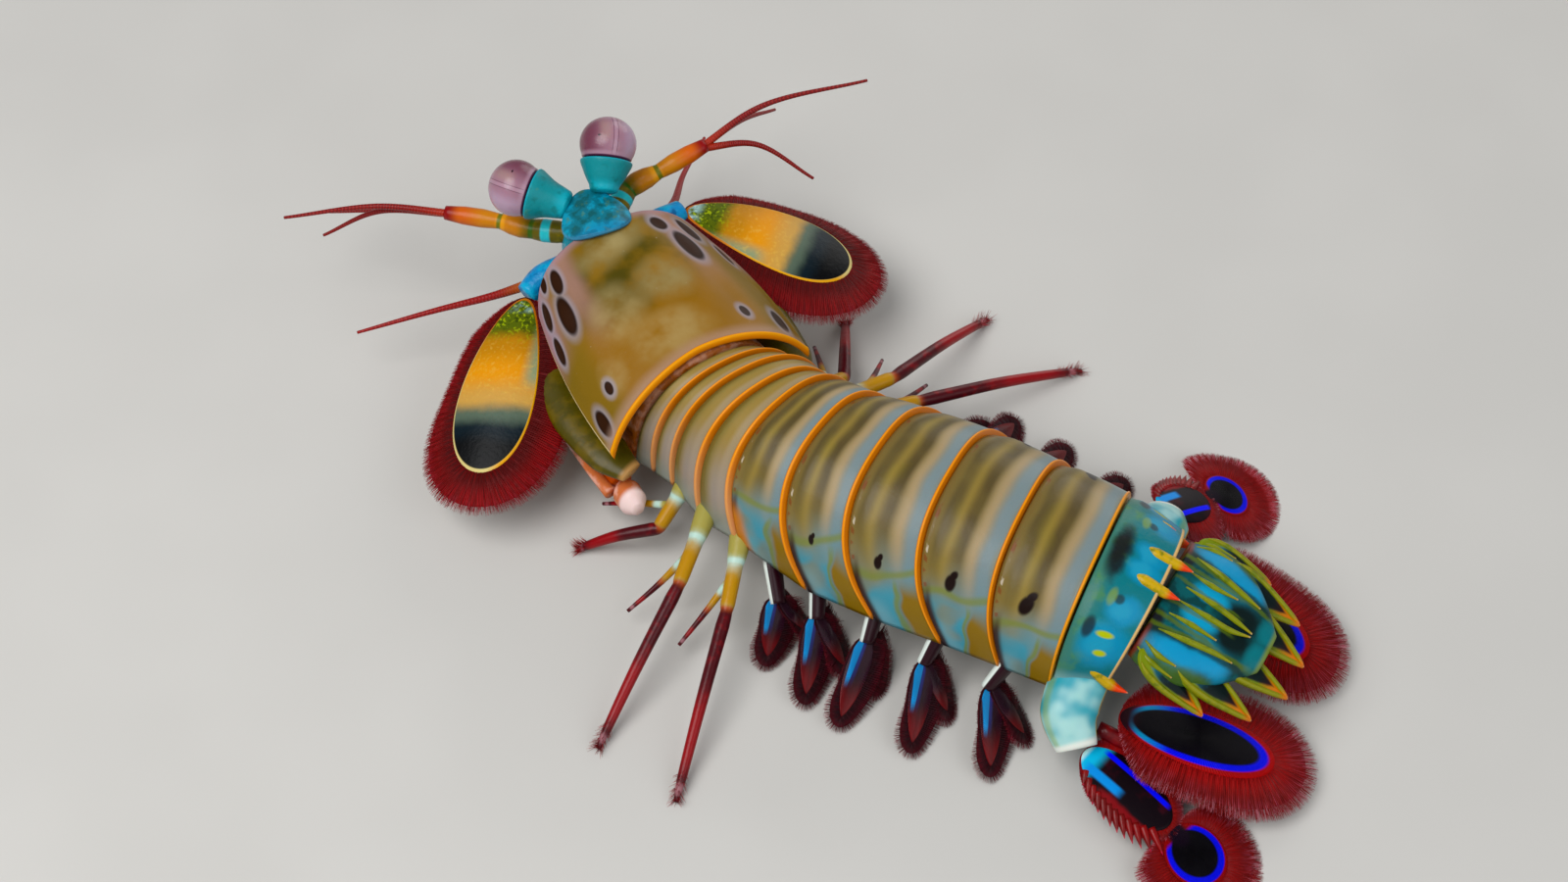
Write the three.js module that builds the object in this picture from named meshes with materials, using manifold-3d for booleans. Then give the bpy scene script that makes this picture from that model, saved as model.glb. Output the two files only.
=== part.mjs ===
// A peacock mantis shrimp at life size, standing on its walking legs and its tail fan.
// Millimetres, +Z up, floor at z = 0. The head points towards -Y and the animal's left side is +X.
// The places are first worked out in the animal's own frame, and HOME then centres the whole on the origin.
import * as THREE from "three";
import { mergeVertices } from "three/addons/utils/BufferGeometryUtils.js";
import Module from "manifold-3d";

const wasm = await Module();
wasm.setup();

const HOME = [-0.5, -5.7, 0]; // moves the bottom centre of the animal's box to the origin
const GAP = 0.3; // clear space between two neighbouring pieces
const SEAM = 0.45; // clear space between two body segments
const SHELL = 1.1; // thickness of the carapace
const FLOOR_CLEAR = 0.8; // lowest point of the pieces that hang without touching the floor

// Body stations: the apex of each segment's rear edge, the heading towards the tail, the pitch down
// towards the tail, the half width, the height of the arch and how far its lower flanks sweep back.
const STATION = {
  front: { at: [-1.6, -38.2, 27.6], heading: 71, pitch: 4, half: 8.2, arch: 13, sweep: 0 },
  core: { at: [2.2, -25.5, 28.1], heading: 73, pitch: 3, half: 13, arch: 16.5, sweep: 0.2 },
  neck: { at: [5.1, -11.9, 27.6], heading: 73.4, pitch: 1, half: 13.6, arch: 17.2, sweep: 0.4 },
  thorax_5: { at: [4.1, -8.6, 28.0], heading: 72, pitch: -2, half: 14.1, arch: 17.8, sweep: 0.6 },
  thorax_6: { at: [3.4, -5.1, 28.6], heading: 72, pitch: -3, half: 14.6, arch: 18.6, sweep: 0.9 },
  thorax_7: { at: [4.3, -1.1, 28.9], heading: 78, pitch: -4, half: 14.9, arch: 19.4, sweep: 2.6 },
  thorax_8: { at: [4.5, 3.3, 29.3], heading: 86, pitch: -5, half: 15.3, arch: 18.0, sweep: 3.6 },
  abdomen_1: { at: [4.0, 11.1, 29.8], heading: 94, pitch: -6, half: 16.3, arch: 19.8, sweep: 6.6 },
  abdomen_2: { at: [1.8, 20.4, 30.0], heading: 99, pitch: -5, half: 17.1, arch: 19.6, sweep: 7.5 },
  abdomen_3: { at: [-1.4, 31.4, 29.8], heading: 102, pitch: -2, half: 17.2, arch: 19.4, sweep: 7.0 },
  abdomen_4: { at: [-4.1, 43.4, 29.0], heading: 103.6, pitch: 2, half: 16.9, arch: 18.2, sweep: 4.9 },
  abdomen_5: { at: [-7.0, 55.8, 27.9], heading: 105, pitch: 7, half: 16.6, arch: 17.2, sweep: 1.4 },
  abdomen_6: { at: [-9.7, 65.6, 25.0], heading: 104, pitch: 14, half: 14.2, arch: 14.6, sweep: 0.4 },
};

// The carapace: apex of its rear edge, then its length, widths, edge drops and margins.
const CARAPACE = {
  at: [5.7, -12.3, 29.2],
  heading: 73.4,
  pitch: 4,
  length: 29.4,
  halfRear: 18.3,
  halfFront: 15.3,
  bulge: 1.3, // extra half width at mid length
  dropRear: 9.9,
  dropFront: 7.2,
  lobes: 4.2, // how far the rear lobes reach behind the apex
  shoulders: 6.3, // how far the front corners fall behind the front edge
  spread: 72, // degrees of arch at the side edge
};

// Points round one body section: the arch from side to side, then the underside back again.
const ARCH_POINTS = 19;
const UNDERSIDE = [
  [0.93, 0.99],
  [0.84, 0.86],
  [0.5, 0.9],
  [0.0, 0.93],
  [-0.5, 0.9],
  [-0.84, 0.86],
  [-0.93, 0.99],
];

const rad = THREE.MathUtils.degToRad;
const vec = (p) => (p.isVector3 ? p.clone() : new THREE.Vector3(...p));
const mix = (a, b, t) => a + (b - a) * t;
const UP = new THREE.Vector3(0, 0, 1);

// The directions at a station: tail along the body, left across it and up square to both.
function axes({ heading, pitch }) {
  const h = rad(heading);
  const p = rad(pitch);
  const tail = new THREE.Vector3(Math.cos(h) * Math.cos(p), Math.sin(h) * Math.cos(p), -Math.sin(p));
  const left = new THREE.Vector3(Math.sin(h), -Math.cos(h), 0);
  return { tail, left, up: new THREE.Vector3().crossVectors(tail, left).negate() };
}

// A point given by lengths along, across and above a station's own directions.
function local(origin, dir, tail, left, up) {
  const level = vec(origin).addScaledVector(dir.tail, tail).addScaledVector(dir.left, left);
  return level.addScaledVector(dir.up, up);
}

// One closed ring of points round the body at a station. The inset draws the back and sides in, and fades
// out towards the lower edges. Grow swells the whole ring, and shift moves it towards the tail.
function sectionRing(station, inset = 0, shift = 0, grow = 0) {
  const dir = axes(station);
  const half = station.half + grow;
  const arch = station.arch + 2 * grow;
  const ring = [];
  for (let i = 0; i < ARCH_POINTS; i++) {
    const side = 1 - (2 * i) / (ARCH_POINTS - 1);
    const turn = (side * Math.PI) / 2;
    const slope = Math.max(Math.cos(turn), 0);
    const drawn = inset * slope ** 0.4;
    const across = (half - drawn) * Math.sign(turn) * Math.abs(Math.sin(turn)) ** 0.9;
    const drop = arch * (1 - slope ** 0.85);
    const back = station.sweep * Math.abs(side) ** 3;
    ring.push(local(station.at, dir, back + shift, across, grow - drop - drawn));
  }
  for (const [share, depth] of [...UNDERSIDE].reverse()) {
    const back = station.sweep * Math.abs(share) ** 3;
    const across = share * station.half - Math.sign(share) * grow;
    ring.push(local(station.at, dir, back + shift, across, -depth * station.arch - grow));
  }
  return ring;
}

// The triangles that close a body section, worked out once so that facing ends match.
const SECTION_FACES = (() => {
  const flat = { ...STATION.abdomen_2, at: [0, 0, 0], heading: 90, pitch: 0, sweep: 0 };
  const outline = sectionRing(flat).map((p) => new THREE.Vector2(p.x, p.z));
  return THREE.ShapeUtils.triangulateShape(outline, []);
})();

// An indexed closed geometry from a list of points and faces, turned so that its faces point outwards.
function closed(points, faces) {
  const geometry = new THREE.BufferGeometry().setFromPoints(points);
  let volume = 0;
  for (const [a, b, c] of faces) {
    volume += points[a].dot(new THREE.Vector3().crossVectors(points[b], points[c]));
  }
  geometry.setIndex(faces.flatMap(([a, b, c]) => (volume < 0 ? [a, c, b] : [a, b, c])));
  return geometry;
}

// A loft through rings of equal length; its ends are closed by a fan or by the given faces.
function loft(rings, endFaces = null) {
  const size = rings[0].length;
  const points = rings.flat();
  const faces = [];
  for (let r = 0; r + 1 < rings.length; r++) {
    for (let i = 0; i < size; i++) {
      const j = (i + 1) % size;
      const a = r * size;
      faces.push([a + i, a + j, a + size + i], [a + j, a + size + j, a + size + i]);
    }
  }
  const last = (rings.length - 1) * size;
  if (endFaces) {
    // triangulateShape keeps the outline's direction, which the first end has to reverse
    const turn = sameTurn(endFaces);
    for (const [a, b, c] of endFaces) {
      faces.push(turn ? [a, b, c] : [a, c, b]);
      faces.push(turn ? [last + a, last + c, last + b] : [last + a, last + b, last + c]);
    }
    return closed(points, faces);
  }
  for (const [ring, start, flip] of [[rings[0], 0, true], [rings.at(-1), last, false]]) {
    const middle = new THREE.Vector3();
    ring.forEach((p) => middle.addScaledVector(p, 1 / size));
    points.push(middle);
    const m = points.length - 1;
    for (let i = 0; i < size; i++) {
      const j = (i + 1) % size;
      faces.push(flip ? [start + j, start + i, m] : [start + i, start + j, m]);
    }
  }
  return closed(points, faces);
}

// Whether the end faces run the same way round as the ring's own order.
function sameTurn(endFaces) {
  const uses = new Set();
  for (const [a, b, c] of endFaces) {
    [[a, b], [b, c], [c, a]].forEach(([p, q]) => uses.add(p + "," + q));
  }
  return !uses.has("0,1");
}

// Rings at chosen points of a limb: each has a centre, half sizes across and in depth, and a side hint.
function limb(joints, sides, hint = UP) {
  const centres = joints.map((j) => vec(j.at));
  return joints.map((joint, n) => {
    const before = centres[Math.max(n - 1, 0)];
    const after = centres[Math.min(n + 1, centres.length - 1)];
    const along = after.clone().sub(before).normalize();
    const across = new THREE.Vector3().crossVectors(hint, along).normalize();
    const deep = new THREE.Vector3().crossVectors(along, across);
    return Array.from({ length: sides }, (_, i) => {
      const a = (2 * Math.PI * (i + 0.5)) / sides;
      const wide = joint.r * Math.cos(a);
      const tall = (joint.deep ?? joint.r) * Math.sin(a);
      return centres[n].clone().addScaledVector(across, wide).addScaledVector(deep, tall);
    });
  });
}

const limbSolid = (joints, sides, hint) => loft(limb(joints, sides, hint));

// The joints of a limb from rows of a place and a radius.
const joints = (...rows) => rows.map(([at, r, deep]) => ({ at, r, deep }));

// A tapered thread or spine along points, thick at its root and fine at its tip.
function thread(points, rootRadius, tipRadius, steps, sides = 5) {
  const curve = new THREE.CatmullRomCurve3(points.map(vec));
  const rows = [];
  for (let i = 0; i <= steps; i++) {
    const share = i / steps;
    rows.push([curve.getPoint(share), mix(rootRadius, tipRadius, share)]);
  }
  return limbSolid(joints(...rows), sides);
}

const POINT = 0.16; // radius of a spine's tip as a share of its root
const spine = (root, tip, r, sides = 5) => limbSolid(joints([root, r], [tip, r * POINT]), sides);

// A round form turned about its own axis. The pairs of its profile are radius and height, and the first
// and last lie on the axis.
function turned(profile, at, direction, segments) {
  const geometry = new THREE.LatheGeometry(profile.map(([r, y]) => new THREE.Vector2(r, y)), segments);
  const axis = new THREE.Vector3(0, 1, 0);
  const turn = new THREE.Quaternion().setFromUnitVectors(axis, vec(direction).normalize());
  return geometry.applyQuaternion(turn).translate(...vec(at).toArray());
}

// A thin leaf: an egg outline round an axis from root to tip, with a fringe of tapered setae about it.
// Sag lowers its sides and bow lifts its middle. Both faces are split into triangles alike.
const FRINGE_TIP = 0.5; // thickness of the setae at their tips
const SHORT_TOOTH = 0.62; // reach of every second tooth of the fringe
function leaf(shape) {
  const { root, tip, wide, egg = 0.2, roll = 0, sag = 0, bow = 0, thick = 1.1, edge = 0.8 } = shape;
  const { fringe, steps, flatBottom, plain = false } = shape;
  const from = vec(root);
  const along = vec(tip).sub(from);
  const long = along.length();
  along.normalize();
  const across = new THREE.Vector3().crossVectors(UP, along).normalize().applyAxisAngle(along, rad(roll));
  const normal = new THREE.Vector3().crossVectors(along, across);
  const middle = [0.5 * long, 0];
  const rings = [[], [], [], []];
  const heights = [[], [], [], []];
  for (let i = 0; i < steps; i++) {
    const a = (2 * Math.PI * i) / steps;
    const rim = [(long / 2) * (1 + Math.cos(a)), (wide / 2) * Math.sin(a) * (1 + egg * Math.cos(a))];
    const out = new THREE.Vector2((Math.cos(a) * wide) / 2, (Math.sin(a) * long) / 2).normalize();
    const reach = fringe ? fringe(a) : 0;
    const tooth = i % 2 === 0;
    const near = reach * 0.5;
    const far = reach * (tooth ? 1 : SHORT_TOOTH);
    rings[0].push([mix(middle[0], rim[0], 0.55), mix(middle[1], rim[1], 0.55)]);
    rings[1].push(rim);
    rings[2].push([rim[0] + out.x * near, rim[1] + out.y * near]);
    rings[3].push([rim[0] + out.x * far, rim[1] + out.y * far]);
    heights[0].push(thick);
    heights[1].push(edge);
    heights[2].push(tooth ? edge * 0.95 : edge * 0.65);
    heights[3].push(FRINGE_TIP);
  }
  const kept = plain ? [1, 3] : fringe ? [0, 1, 2, 3] : [0, 1];
  const used = kept.length;
  const place = ([x, y], high) => {
    const level = -sag * (y / wide) ** 2 + bow * (x / long) * (1 - x / long) * 4;
    const flat = from.clone().addScaledVector(along, x).addScaledVector(across, y);
    return flat.addScaledVector(normal, level + high);
  };
  const points = [place(middle, thick / 2), place(middle, -thick / 2)];
  for (const sign of [0.5, -0.5]) {
    for (const r of kept) {
      for (let i = 0; i < steps; i++) points.push(place(rings[r][i], sign * heights[r][i]));
    }
  }
  if (flatBottom !== undefined) points.forEach((p) => (p.z = Math.max(p.z, flatBottom)));
  const faces = [];
  const at = (face, r, i) => 2 + (face * used + r) * steps + (i % steps);
  const put = (face, a, b, c) => faces.push(face ? [a, c, b] : [a, b, c]);
  for (const face of [0, 1]) {
    for (let i = 0; i < steps; i++) {
      put(face, face, at(face, 0, i), at(face, 0, i + 1));
      for (let r = 0; r + 1 < used; r++) {
        put(face, at(face, r, i), at(face, r + 1, i), at(face, r, i + 1));
        put(face, at(face, r + 1, i), at(face, r + 1, i + 1), at(face, r, i + 1));
      }
    }
  }
  for (let i = 0; i < steps; i++) {
    const r = used - 1;
    faces.push([at(0, r, i), at(1, r, i), at(0, r, i + 1)]);
    faces.push([at(1, r, i), at(1, r, i + 1), at(0, r, i + 1)]);
  }
  return closed(points, faces);
}

// A fringe as long as given, that fades out towards the root over the last stretch of the outline.
const fringeOf = (tipLength, sideLength, bare = 0.25) => (angle) => {
  const back = (1 - Math.cos(angle)) / 2; // 0 at the tip, 1 at the root
  const fade = THREE.MathUtils.clamp((1 - back) / bare, 0, 1);
  return mix(tipLength, sideLength, back) * fade;
};

// Joins and cuts. Every piece keeps only its largest closed surface.
function solid(geometry) {
  const bare = geometry.clone();
  bare.deleteAttribute("normal");
  bare.deleteAttribute("uv");
  const merged = mergeVertices(bare, 1e-3);
  return new wasm.Manifold(
    new wasm.Mesh({
      numProp: 3,
      vertProperties: merged.attributes.position.array,
      triVerts: new Uint32Array(merged.index.array),
    }),
  );
}
const union = (bodies) => bodies.reduce((a, b) => a.add(b));
const fuse = (...geometries) => union(geometries.flat().map(solid));

function largest(body) {
  return body.decompose().reduce((a, b) => (b.volume() > a.volume() ? b : a));
}

function geometryOf(body) {
  const mesh = largest(body).getMesh();
  const geometry = new THREE.BufferGeometry();
  geometry.setAttribute("position", new THREE.BufferAttribute(new Float32Array(mesh.vertProperties), 3));
  geometry.setIndex(new THREE.BufferAttribute(new Uint32Array(mesh.triVerts), 1));
  return geometry;
}

const MATERIAL = {
  carapace: [0x8f7a3c, 0.35],
  tergite: [0x857549, 0.35],
  joint: [0x3f8f90, 0.4],
  tail: [0x1f93a5, 0.3],
  cornea: [0xa8788c, 0.2],
  stalk: [0x1d8d92, 0.4],
  feeler: [0xa8641c, 0.45],
  scale: [0xc08a2a, 0.4],
  club: [0x9a6a3a, 0.3],
  limb: [0x6d1526, 0.5],
  swimmer: [0x5a0f1e, 0.5],
  fan: [0x7a0c1c, 0.45],
};

const animal = new THREE.Group();
animal.position.set(...HOME);

// Adds one named piece; its own origin is the point where it joins the body.
function add(name, shape, finish, pivot) {
  const geometry = shape.isBufferGeometry ? geometryOf(solid(shape)) : geometryOf(shape);
  const at = vec(pivot);
  geometry.translate(-at.x, -at.y, -at.z);
  geometry.computeVertexNormals();
  const [color, roughness] = MATERIAL[finish];
  const mesh = new THREE.Mesh(geometry, new THREE.MeshStandardMaterial({ color, roughness, metalness: 0 }));
  mesh.name = name;
  mesh.position.copy(at);
  animal.add(mesh);
}

// Carapace: a bent shield whose side edges hang free over the bases of the limbs.
function carapacePoint(length, side, depth, grow) {
  const c = CARAPACE;
  const dir = axes(c);
  const widest = rad(c.spread);
  const turn = side * widest;
  const half = mix(c.halfRear, c.halfFront, length) + c.bulge * 4 * length * (1 - length);
  const drop = mix(c.dropRear, c.dropFront, length);
  const rear = -c.lobes * Math.abs(side) ** 1.5 - grow;
  const front = c.length - c.shoulders * Math.abs(side) ** 3 + grow;
  const forward = mix(rear, front, length);
  const down = (drop * (1 - Math.cos(turn))) / (1 - Math.cos(widest)) + 0.8 * length * length;
  const reach = ((half + grow) * Math.sin(turn)) / Math.sin(widest);
  return local(c.at, dir, -forward, reach * (1 - depth * 0.02), -down - depth);
}

function carapaceBody(grow = 0) {
  const lengths = [0, 0.03, 0.2, 0.4, 0.6, 0.8, 0.93, 1];
  const sides = Array.from({ length: 19 }, (_, i) => -1 + i / 9);
  const points = [];
  for (const depth of [-grow, SHELL + grow]) {
    for (const length of lengths) {
      for (const side of sides) points.push(carapacePoint(length, side, depth, grow));
    }
  }
  return sheetBody(points, lengths.length, sides.length);
}

// Closes two equal grids of points, one over the other, into one thin body.
function sheetBody(points, rows, columns) {
  const faces = [];
  const at = (face, r, c) => (face * rows + r) * columns + c;
  for (const face of [0, 1]) {
    for (let r = 0; r + 1 < rows; r++) {
      for (let c = 0; c + 1 < columns; c++) {
        const [p, q] = [at(face, r, c), at(face, r + 1, c)];
        const pair = [[p, q, p + 1], [q, q + 1, p + 1]];
        pair.forEach(([a, b, d]) => faces.push(face ? [a, d, b] : [a, b, d]));
      }
    }
  }
  const wall = (a, b) => {
    const [a1, b1] = [a + rows * columns, b + rows * columns];
    faces.push([a, b, a1], [b, b1, a1]);
  };
  for (let c = 0; c + 1 < columns; c++) {
    wall(at(0, 0, c), at(0, 0, c + 1));
    wall(at(0, rows - 1, c + 1), at(0, rows - 1, c));
  }
  for (let r = 0; r + 1 < rows; r++) {
    wall(at(0, r + 1, 0), at(0, r, 0));
    wall(at(0, r, columns - 1), at(0, r + 1, columns - 1));
  }
  return closed(points, faces);
}

// A drum between two stations: its front is set in under the rim before it and its own rim stands out.
const LONG_DRUM = [[0, 0.55], [0.16, 0.1], [0.5, 0], [0.9, 0], [0.95, -0.14], [1, -0.14]];
const SHORT_DRUM = [[0, 0.5], [0.3, 0.1], [0.72, 0], [0.82, -0.12], [1, -0.12]];

function drum(from, to, shape, grow = 0) {
  const rings = shape.map(([share, inset]) => {
    const a = sectionRing(STATION[from], inset, SEAM - grow, grow);
    const b = sectionRing(STATION[to], inset, grow, grow);
    return a.map((p, i) => p.clone().lerp(b[i], share));
  });
  return loft(rings, SECTION_FACES);
}

const SEGMENTS = [
  ["cephalothorax", "front", "core", "neck"],
  ["thorax_5", "neck", "thorax_5"],
  ["thorax_6", "thorax_5", "thorax_6"],
  ["thorax_7", "thorax_6", "thorax_7"],
  ["thorax_8", "thorax_7", "thorax_8"],
  ["abdomen_1", "thorax_8", "abdomen_1"],
  ["abdomen_2", "abdomen_1", "abdomen_2"],
  ["abdomen_3", "abdomen_2", "abdomen_3"],
  ["abdomen_4", "abdomen_3", "abdomen_4"],
  ["abdomen_5", "abdomen_4", "abdomen_5"],
];

// The core under the carapace, from the head to the free thorax.
function coreBody(grow = 0) {
  const rings = ["front", "core", "neck"].map((name) => sectionRing(STATION[name], 0.1, 0, grow));
  return loft(rings, SECTION_FACES);
}

function segmentBody([name, from, to], grow = 0) {
  if (name === "cephalothorax") return coreBody(grow);
  return drum(from, to, name.startsWith("thorax") ? SHORT_DRUM : LONG_DRUM, grow);
}

const carapaceRoom = solid(carapaceBody(GAP));
add("carapace", carapaceBody(), "carapace", CARAPACE.at);
for (const segment of SEGMENTS) {
  const finish = segment[0] === "cephalothorax" ? "joint" : "tergite";
  add(segment[0], solid(segmentBody(segment)).subtract(carapaceRoom), finish, STATION[segment[1]].at);
}

// The room that each part of the trunk takes up with its gap, for cutting limb roots to meet it.
const trunkRoom = union([...SEGMENTS.map((s) => solid(segmentBody(s, GAP))), carapaceRoom]);

// The two sides of the animal, each named from its own side.
const SIDES = ["left", "right"];
const sideSign = { left: 1, right: -1 };

// A point beside the body axis at a station: lengths towards the tail and out to one side, and a height.
function beside(station, side, tail, out, z) {
  const dir = axes({ ...station, pitch: 0 });
  const p = local(station.at, dir, tail, out * sideSign[side], 0);
  p.z = z;
  return p;
}

// Head: a small block between the carapace and the eyes, turned a little to the animal's right.
const HEAD = { at: [-5.6, -46.6, 27.6], heading: 62, pitch: 0, half: 4.6, arch: 8.5, sweep: 0 };
const HEAD_BACK = { ...STATION.front, at: [-1.9, -38.9, 26.2], half: 7.6, arch: 12 };
const HEAD_MID = { at: [-3.9, -42.6, 27.2], heading: 66, pitch: 0, half: 6.6, arch: 11, sweep: 0 };
function headBody(grow = 0) {
  const rings = [HEAD_BACK, HEAD_MID, HEAD].map((s) => sectionRing(s, 0, 0, grow));
  return loft(rings, SECTION_FACES);
}
const headRoom = solid(headBody(GAP));
add("head", solid(headBody()).subtract(carapaceRoom).subtract(solid(coreBody(GAP))), "joint", HEAD.at);

// Rostral plate: the small plate before the carapace, with a blunt point over the eyestalks.
const ROSTRAL = {
  root: [-1.0, -38.0, 31.4],
  tip: [-6.0, -47.4, 30.0],
  wide: 11,
  egg: -0.3,
  sag: 5,
  steps: 18,
};
const rostral = solid(leaf({ ...ROSTRAL, thick: 1.4, edge: 0.9 }));
add("rostral_plate", rostral.subtract(carapaceRoom).subtract(headRoom), "joint", ROSTRAL.root);
const around = { root: [-0.7, -37.4, 31.4], tip: [-6.3, -48.0, 30.0], wide: 11.8, sag: 5.2 };
const rostralRoom = solid(leaf({ ...ROSTRAL, ...around, thick: 2.1, edge: 1.7 }));

// Eyes: egg-shaped corneas on flared stalks, the left one looking forwards and the right one to the side.
const EYE = {
  left: { base: [-2.6, -47.2, 29.6], centre: [0.6, -55.3, 30.6] },
  right: { base: [-7.6, -44.2, 30.6], centre: [-13.0, -47.9, 34.4] },
};
const CORNEA = 4.6; // radius of the cornea across
const CORNEA_LONG = 4.4; // from its widest place to its front
const CORNEA_WIDEST = 0.4; // how far its widest place is ahead of its centre
const CORNEA_BACK = 2.2; // from its centre back to the stalk
const corneaProfile = [[0, -CORNEA_BACK], [4.0, -CORNEA_BACK]];
for (let i = 0; i < 7; i++) {
  const a = mix(-0.42, Math.PI / 2, i / 7);
  corneaProfile.push([CORNEA * Math.cos(a), CORNEA_WIDEST + CORNEA_LONG * Math.sin(a)]);
}
corneaProfile.push([0, CORNEA_WIDEST + CORNEA_LONG]);

// The stalk widens into a cup that holds the cornea.
const stalkProfile = (cup) => [
  [0, 0.4],
  [1.6, 0.4],
  [1.9, 1.6],
  [2.6, cup - 2.6],
  [3.9, cup - 0.8],
  [4.1, cup],
  [0, cup],
];
const stalkRoomProfile = (cup) => [
  [0, 0],
  [2.2, 0.2],
  [3.0, cup - 2.6],
  [4.4, cup + 0.3],
  [4.9, cup + 4.5],
  [0, cup + 8.5],
];
const stalkRoom = [];
for (const side of SIDES) {
  const base = vec(EYE[side].base);
  const centre = vec(EYE[side].centre);
  const direction = centre.clone().sub(base);
  const cup = direction.length() - CORNEA_BACK - GAP;
  add("eye_" + side, turned(corneaProfile, centre, direction, 16), "cornea", centre);
  const stalk = solid(turned(stalkProfile(cup), base, direction, 14));
  const taken = union([headRoom, rostralRoom, ...stalkRoom]);
  add("eyestalk_" + side, stalk.subtract(taken), "stalk", base);
  stalkRoom.push(solid(turned(stalkRoomProfile(cup), base, direction, 14)));
}
const eyesRoom = union(stalkRoom);

// Antennules: a stalk of three segments that carries three whip-like flagella.
const ANTENNULE = {
  left: {
    stalk: [[-2.6, -47.4, 22.6], [0.4, -53.2, 22.0], [2.7, -58.4, 22.0], [7.1, -66.5, 22.0]],
    whips: [
      [[13.4, -75.6, 22.4], [22.9, -88.9, 18.0]],
      [[12.8, -76.4, 20.0], [19.4, -84.0, 14.0]],
      [[9.8, -75.2, 18.5], [14.5, -88.0, 12.5]],
    ],
  },
  right: {
    stalk: [[-8.8, -43.8, 23.6], [-14.4, -45.4, 24.4], [-19.5, -43.2, 26.0], [-27.5, -39.9, 28.0]],
    whips: [
      [[-38.5, -37.2, 30.0], [-55.7, -28.6, 28.0]],
      [[-34.0, -34.6, 26.4], [-38.7, -26.1, 20.0]],
      [[-36.6, -40.6, 25.5], [-47.0, -41.5, 19.0]],
    ],
  },
};
const PEDUNCLE = [1.7, 1.9, 1.5, 1.35]; // radius at the root, the two joints and the fork
const PEDUNCLE_STEPS = 9; // three to each of its segments, which narrow where they meet
const antennuleRoom = {};
function peduncle(curve, grow) {
  const rows = [];
  for (let i = 0; i <= PEDUNCLE_STEPS; i++) {
    const place = i / 3;
    const knot = Math.min(Math.floor(place), 2);
    const swell = i % 3 === 0 ? -0.25 : 0.1;
    const radius = mix(PEDUNCLE[knot], PEDUNCLE[knot + 1], place - knot);
    rows.push([curve.getPoint(i / PEDUNCLE_STEPS), radius + swell + grow]);
  }
  return limbSolid(joints(...rows), 7);
}
for (const side of SIDES) {
  const { stalk, whips } = ANTENNULE[side];
  const curve = new THREE.CatmullRomCurve3(stalk.map(vec));
  const fork = vec(stalk[3]);
  const back = vec(stalk[2]).sub(fork).setLength(1.2);
  const threads = whips.map(([mid, tip]) => thread([fork.clone().add(back), mid, tip], 0.62, 0.28, 5, 4));
  const body = fuse(peduncle(curve, 0), threads).subtract(headRoom).subtract(eyesRoom);
  antennuleRoom[side] = solid(peduncle(curve, GAP));
  add("antennule_" + side, body, "feeler", stalk[0]);
}

// Raptorial legs, folded under the edge of the carapace: the merus above, the propodus below it and the
// dactyl with its swollen club at the rear.
// Each row: behind, beside and above the shield's rear edge, and the radius in depth.
const RAPTORIAL = {
  merus: [
    [-20, 3.6, 15.5, 1.4],
    [-17, 4.2, 15.2, 2.6],
    [-9, 4.8, 14.6, 3.2],
    [0, 4.2, 14.4, 2.8],
    [4.5, 3.0, 14.2, 1.6],
  ],
  carpus: [
    [-21, 3.8, 13.6, 2.0],
    [-21.4, 3.8, 10.0, 1.9],
  ],
  propodus: [
    [-19.5, 3.8, 9.4, 1.5],
    [-15, 3.0, 8.6, 2.3],
    [-6, 3.0, 8.0, 2.4],
    [1.5, 3.4, 8.2, 2.2],
  ],
  club: [
    [2.6, 3.6, 8.4, 1.6],
    [4.2, 3.9, 8.8, 2.7],
    [6.6, 4.1, 9.2, 2.6],
    [8.2, 4.2, 9.4, 1.2],
  ],
  blade: [
    [2.6, 6.0, 8.6],
    [-13, 6.3, 7.2],
  ],
};
const RAPTORIAL_OUT = CARAPACE.halfRear - 5.4; // from the midline to the inner side of the folded limbs
const RAPTORIAL_FLAT = 0.82; // width over depth
const raptorialRoom = {};
for (const side of SIDES) {
  const place = ([back, out, z]) => beside(CARAPACE, side, back, RAPTORIAL_OUT + out, z);
  const body = (part, grow = 0) => {
    const rows = RAPTORIAL[part].map((row) => [place(row), row[3] * RAPTORIAL_FLAT + grow, row[3] + grow]);
    return solid(limbSolid(joints(...rows), 10));
  };
  const merusRoom = body("merus", GAP);
  const propodusRoom = body("propodus", GAP);
  const merus = body("merus").subtract(trunkRoom);
  const propodus = body("propodus").add(body("carpus")).subtract(merusRoom).subtract(trunkRoom);
  const blade = solid(spine(place(RAPTORIAL.blade[0]), place(RAPTORIAL.blade[1]), 1.1, 6));
  const dactyl = body("club").add(blade).subtract(propodusRoom).subtract(merusRoom).subtract(trunkRoom);
  raptorialRoom[side] = union([merusRoom, propodusRoom, body("club", GAP)]);
  add("raptorial_merus_" + side, merus, "club", place(RAPTORIAL.merus[3]));
  add("raptorial_propodus_" + side, propodus, "club", place(RAPTORIAL.propodus[0]));
  add("raptorial_dactyl_" + side, dactyl, "club", place(RAPTORIAL.club[0]));
}

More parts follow.
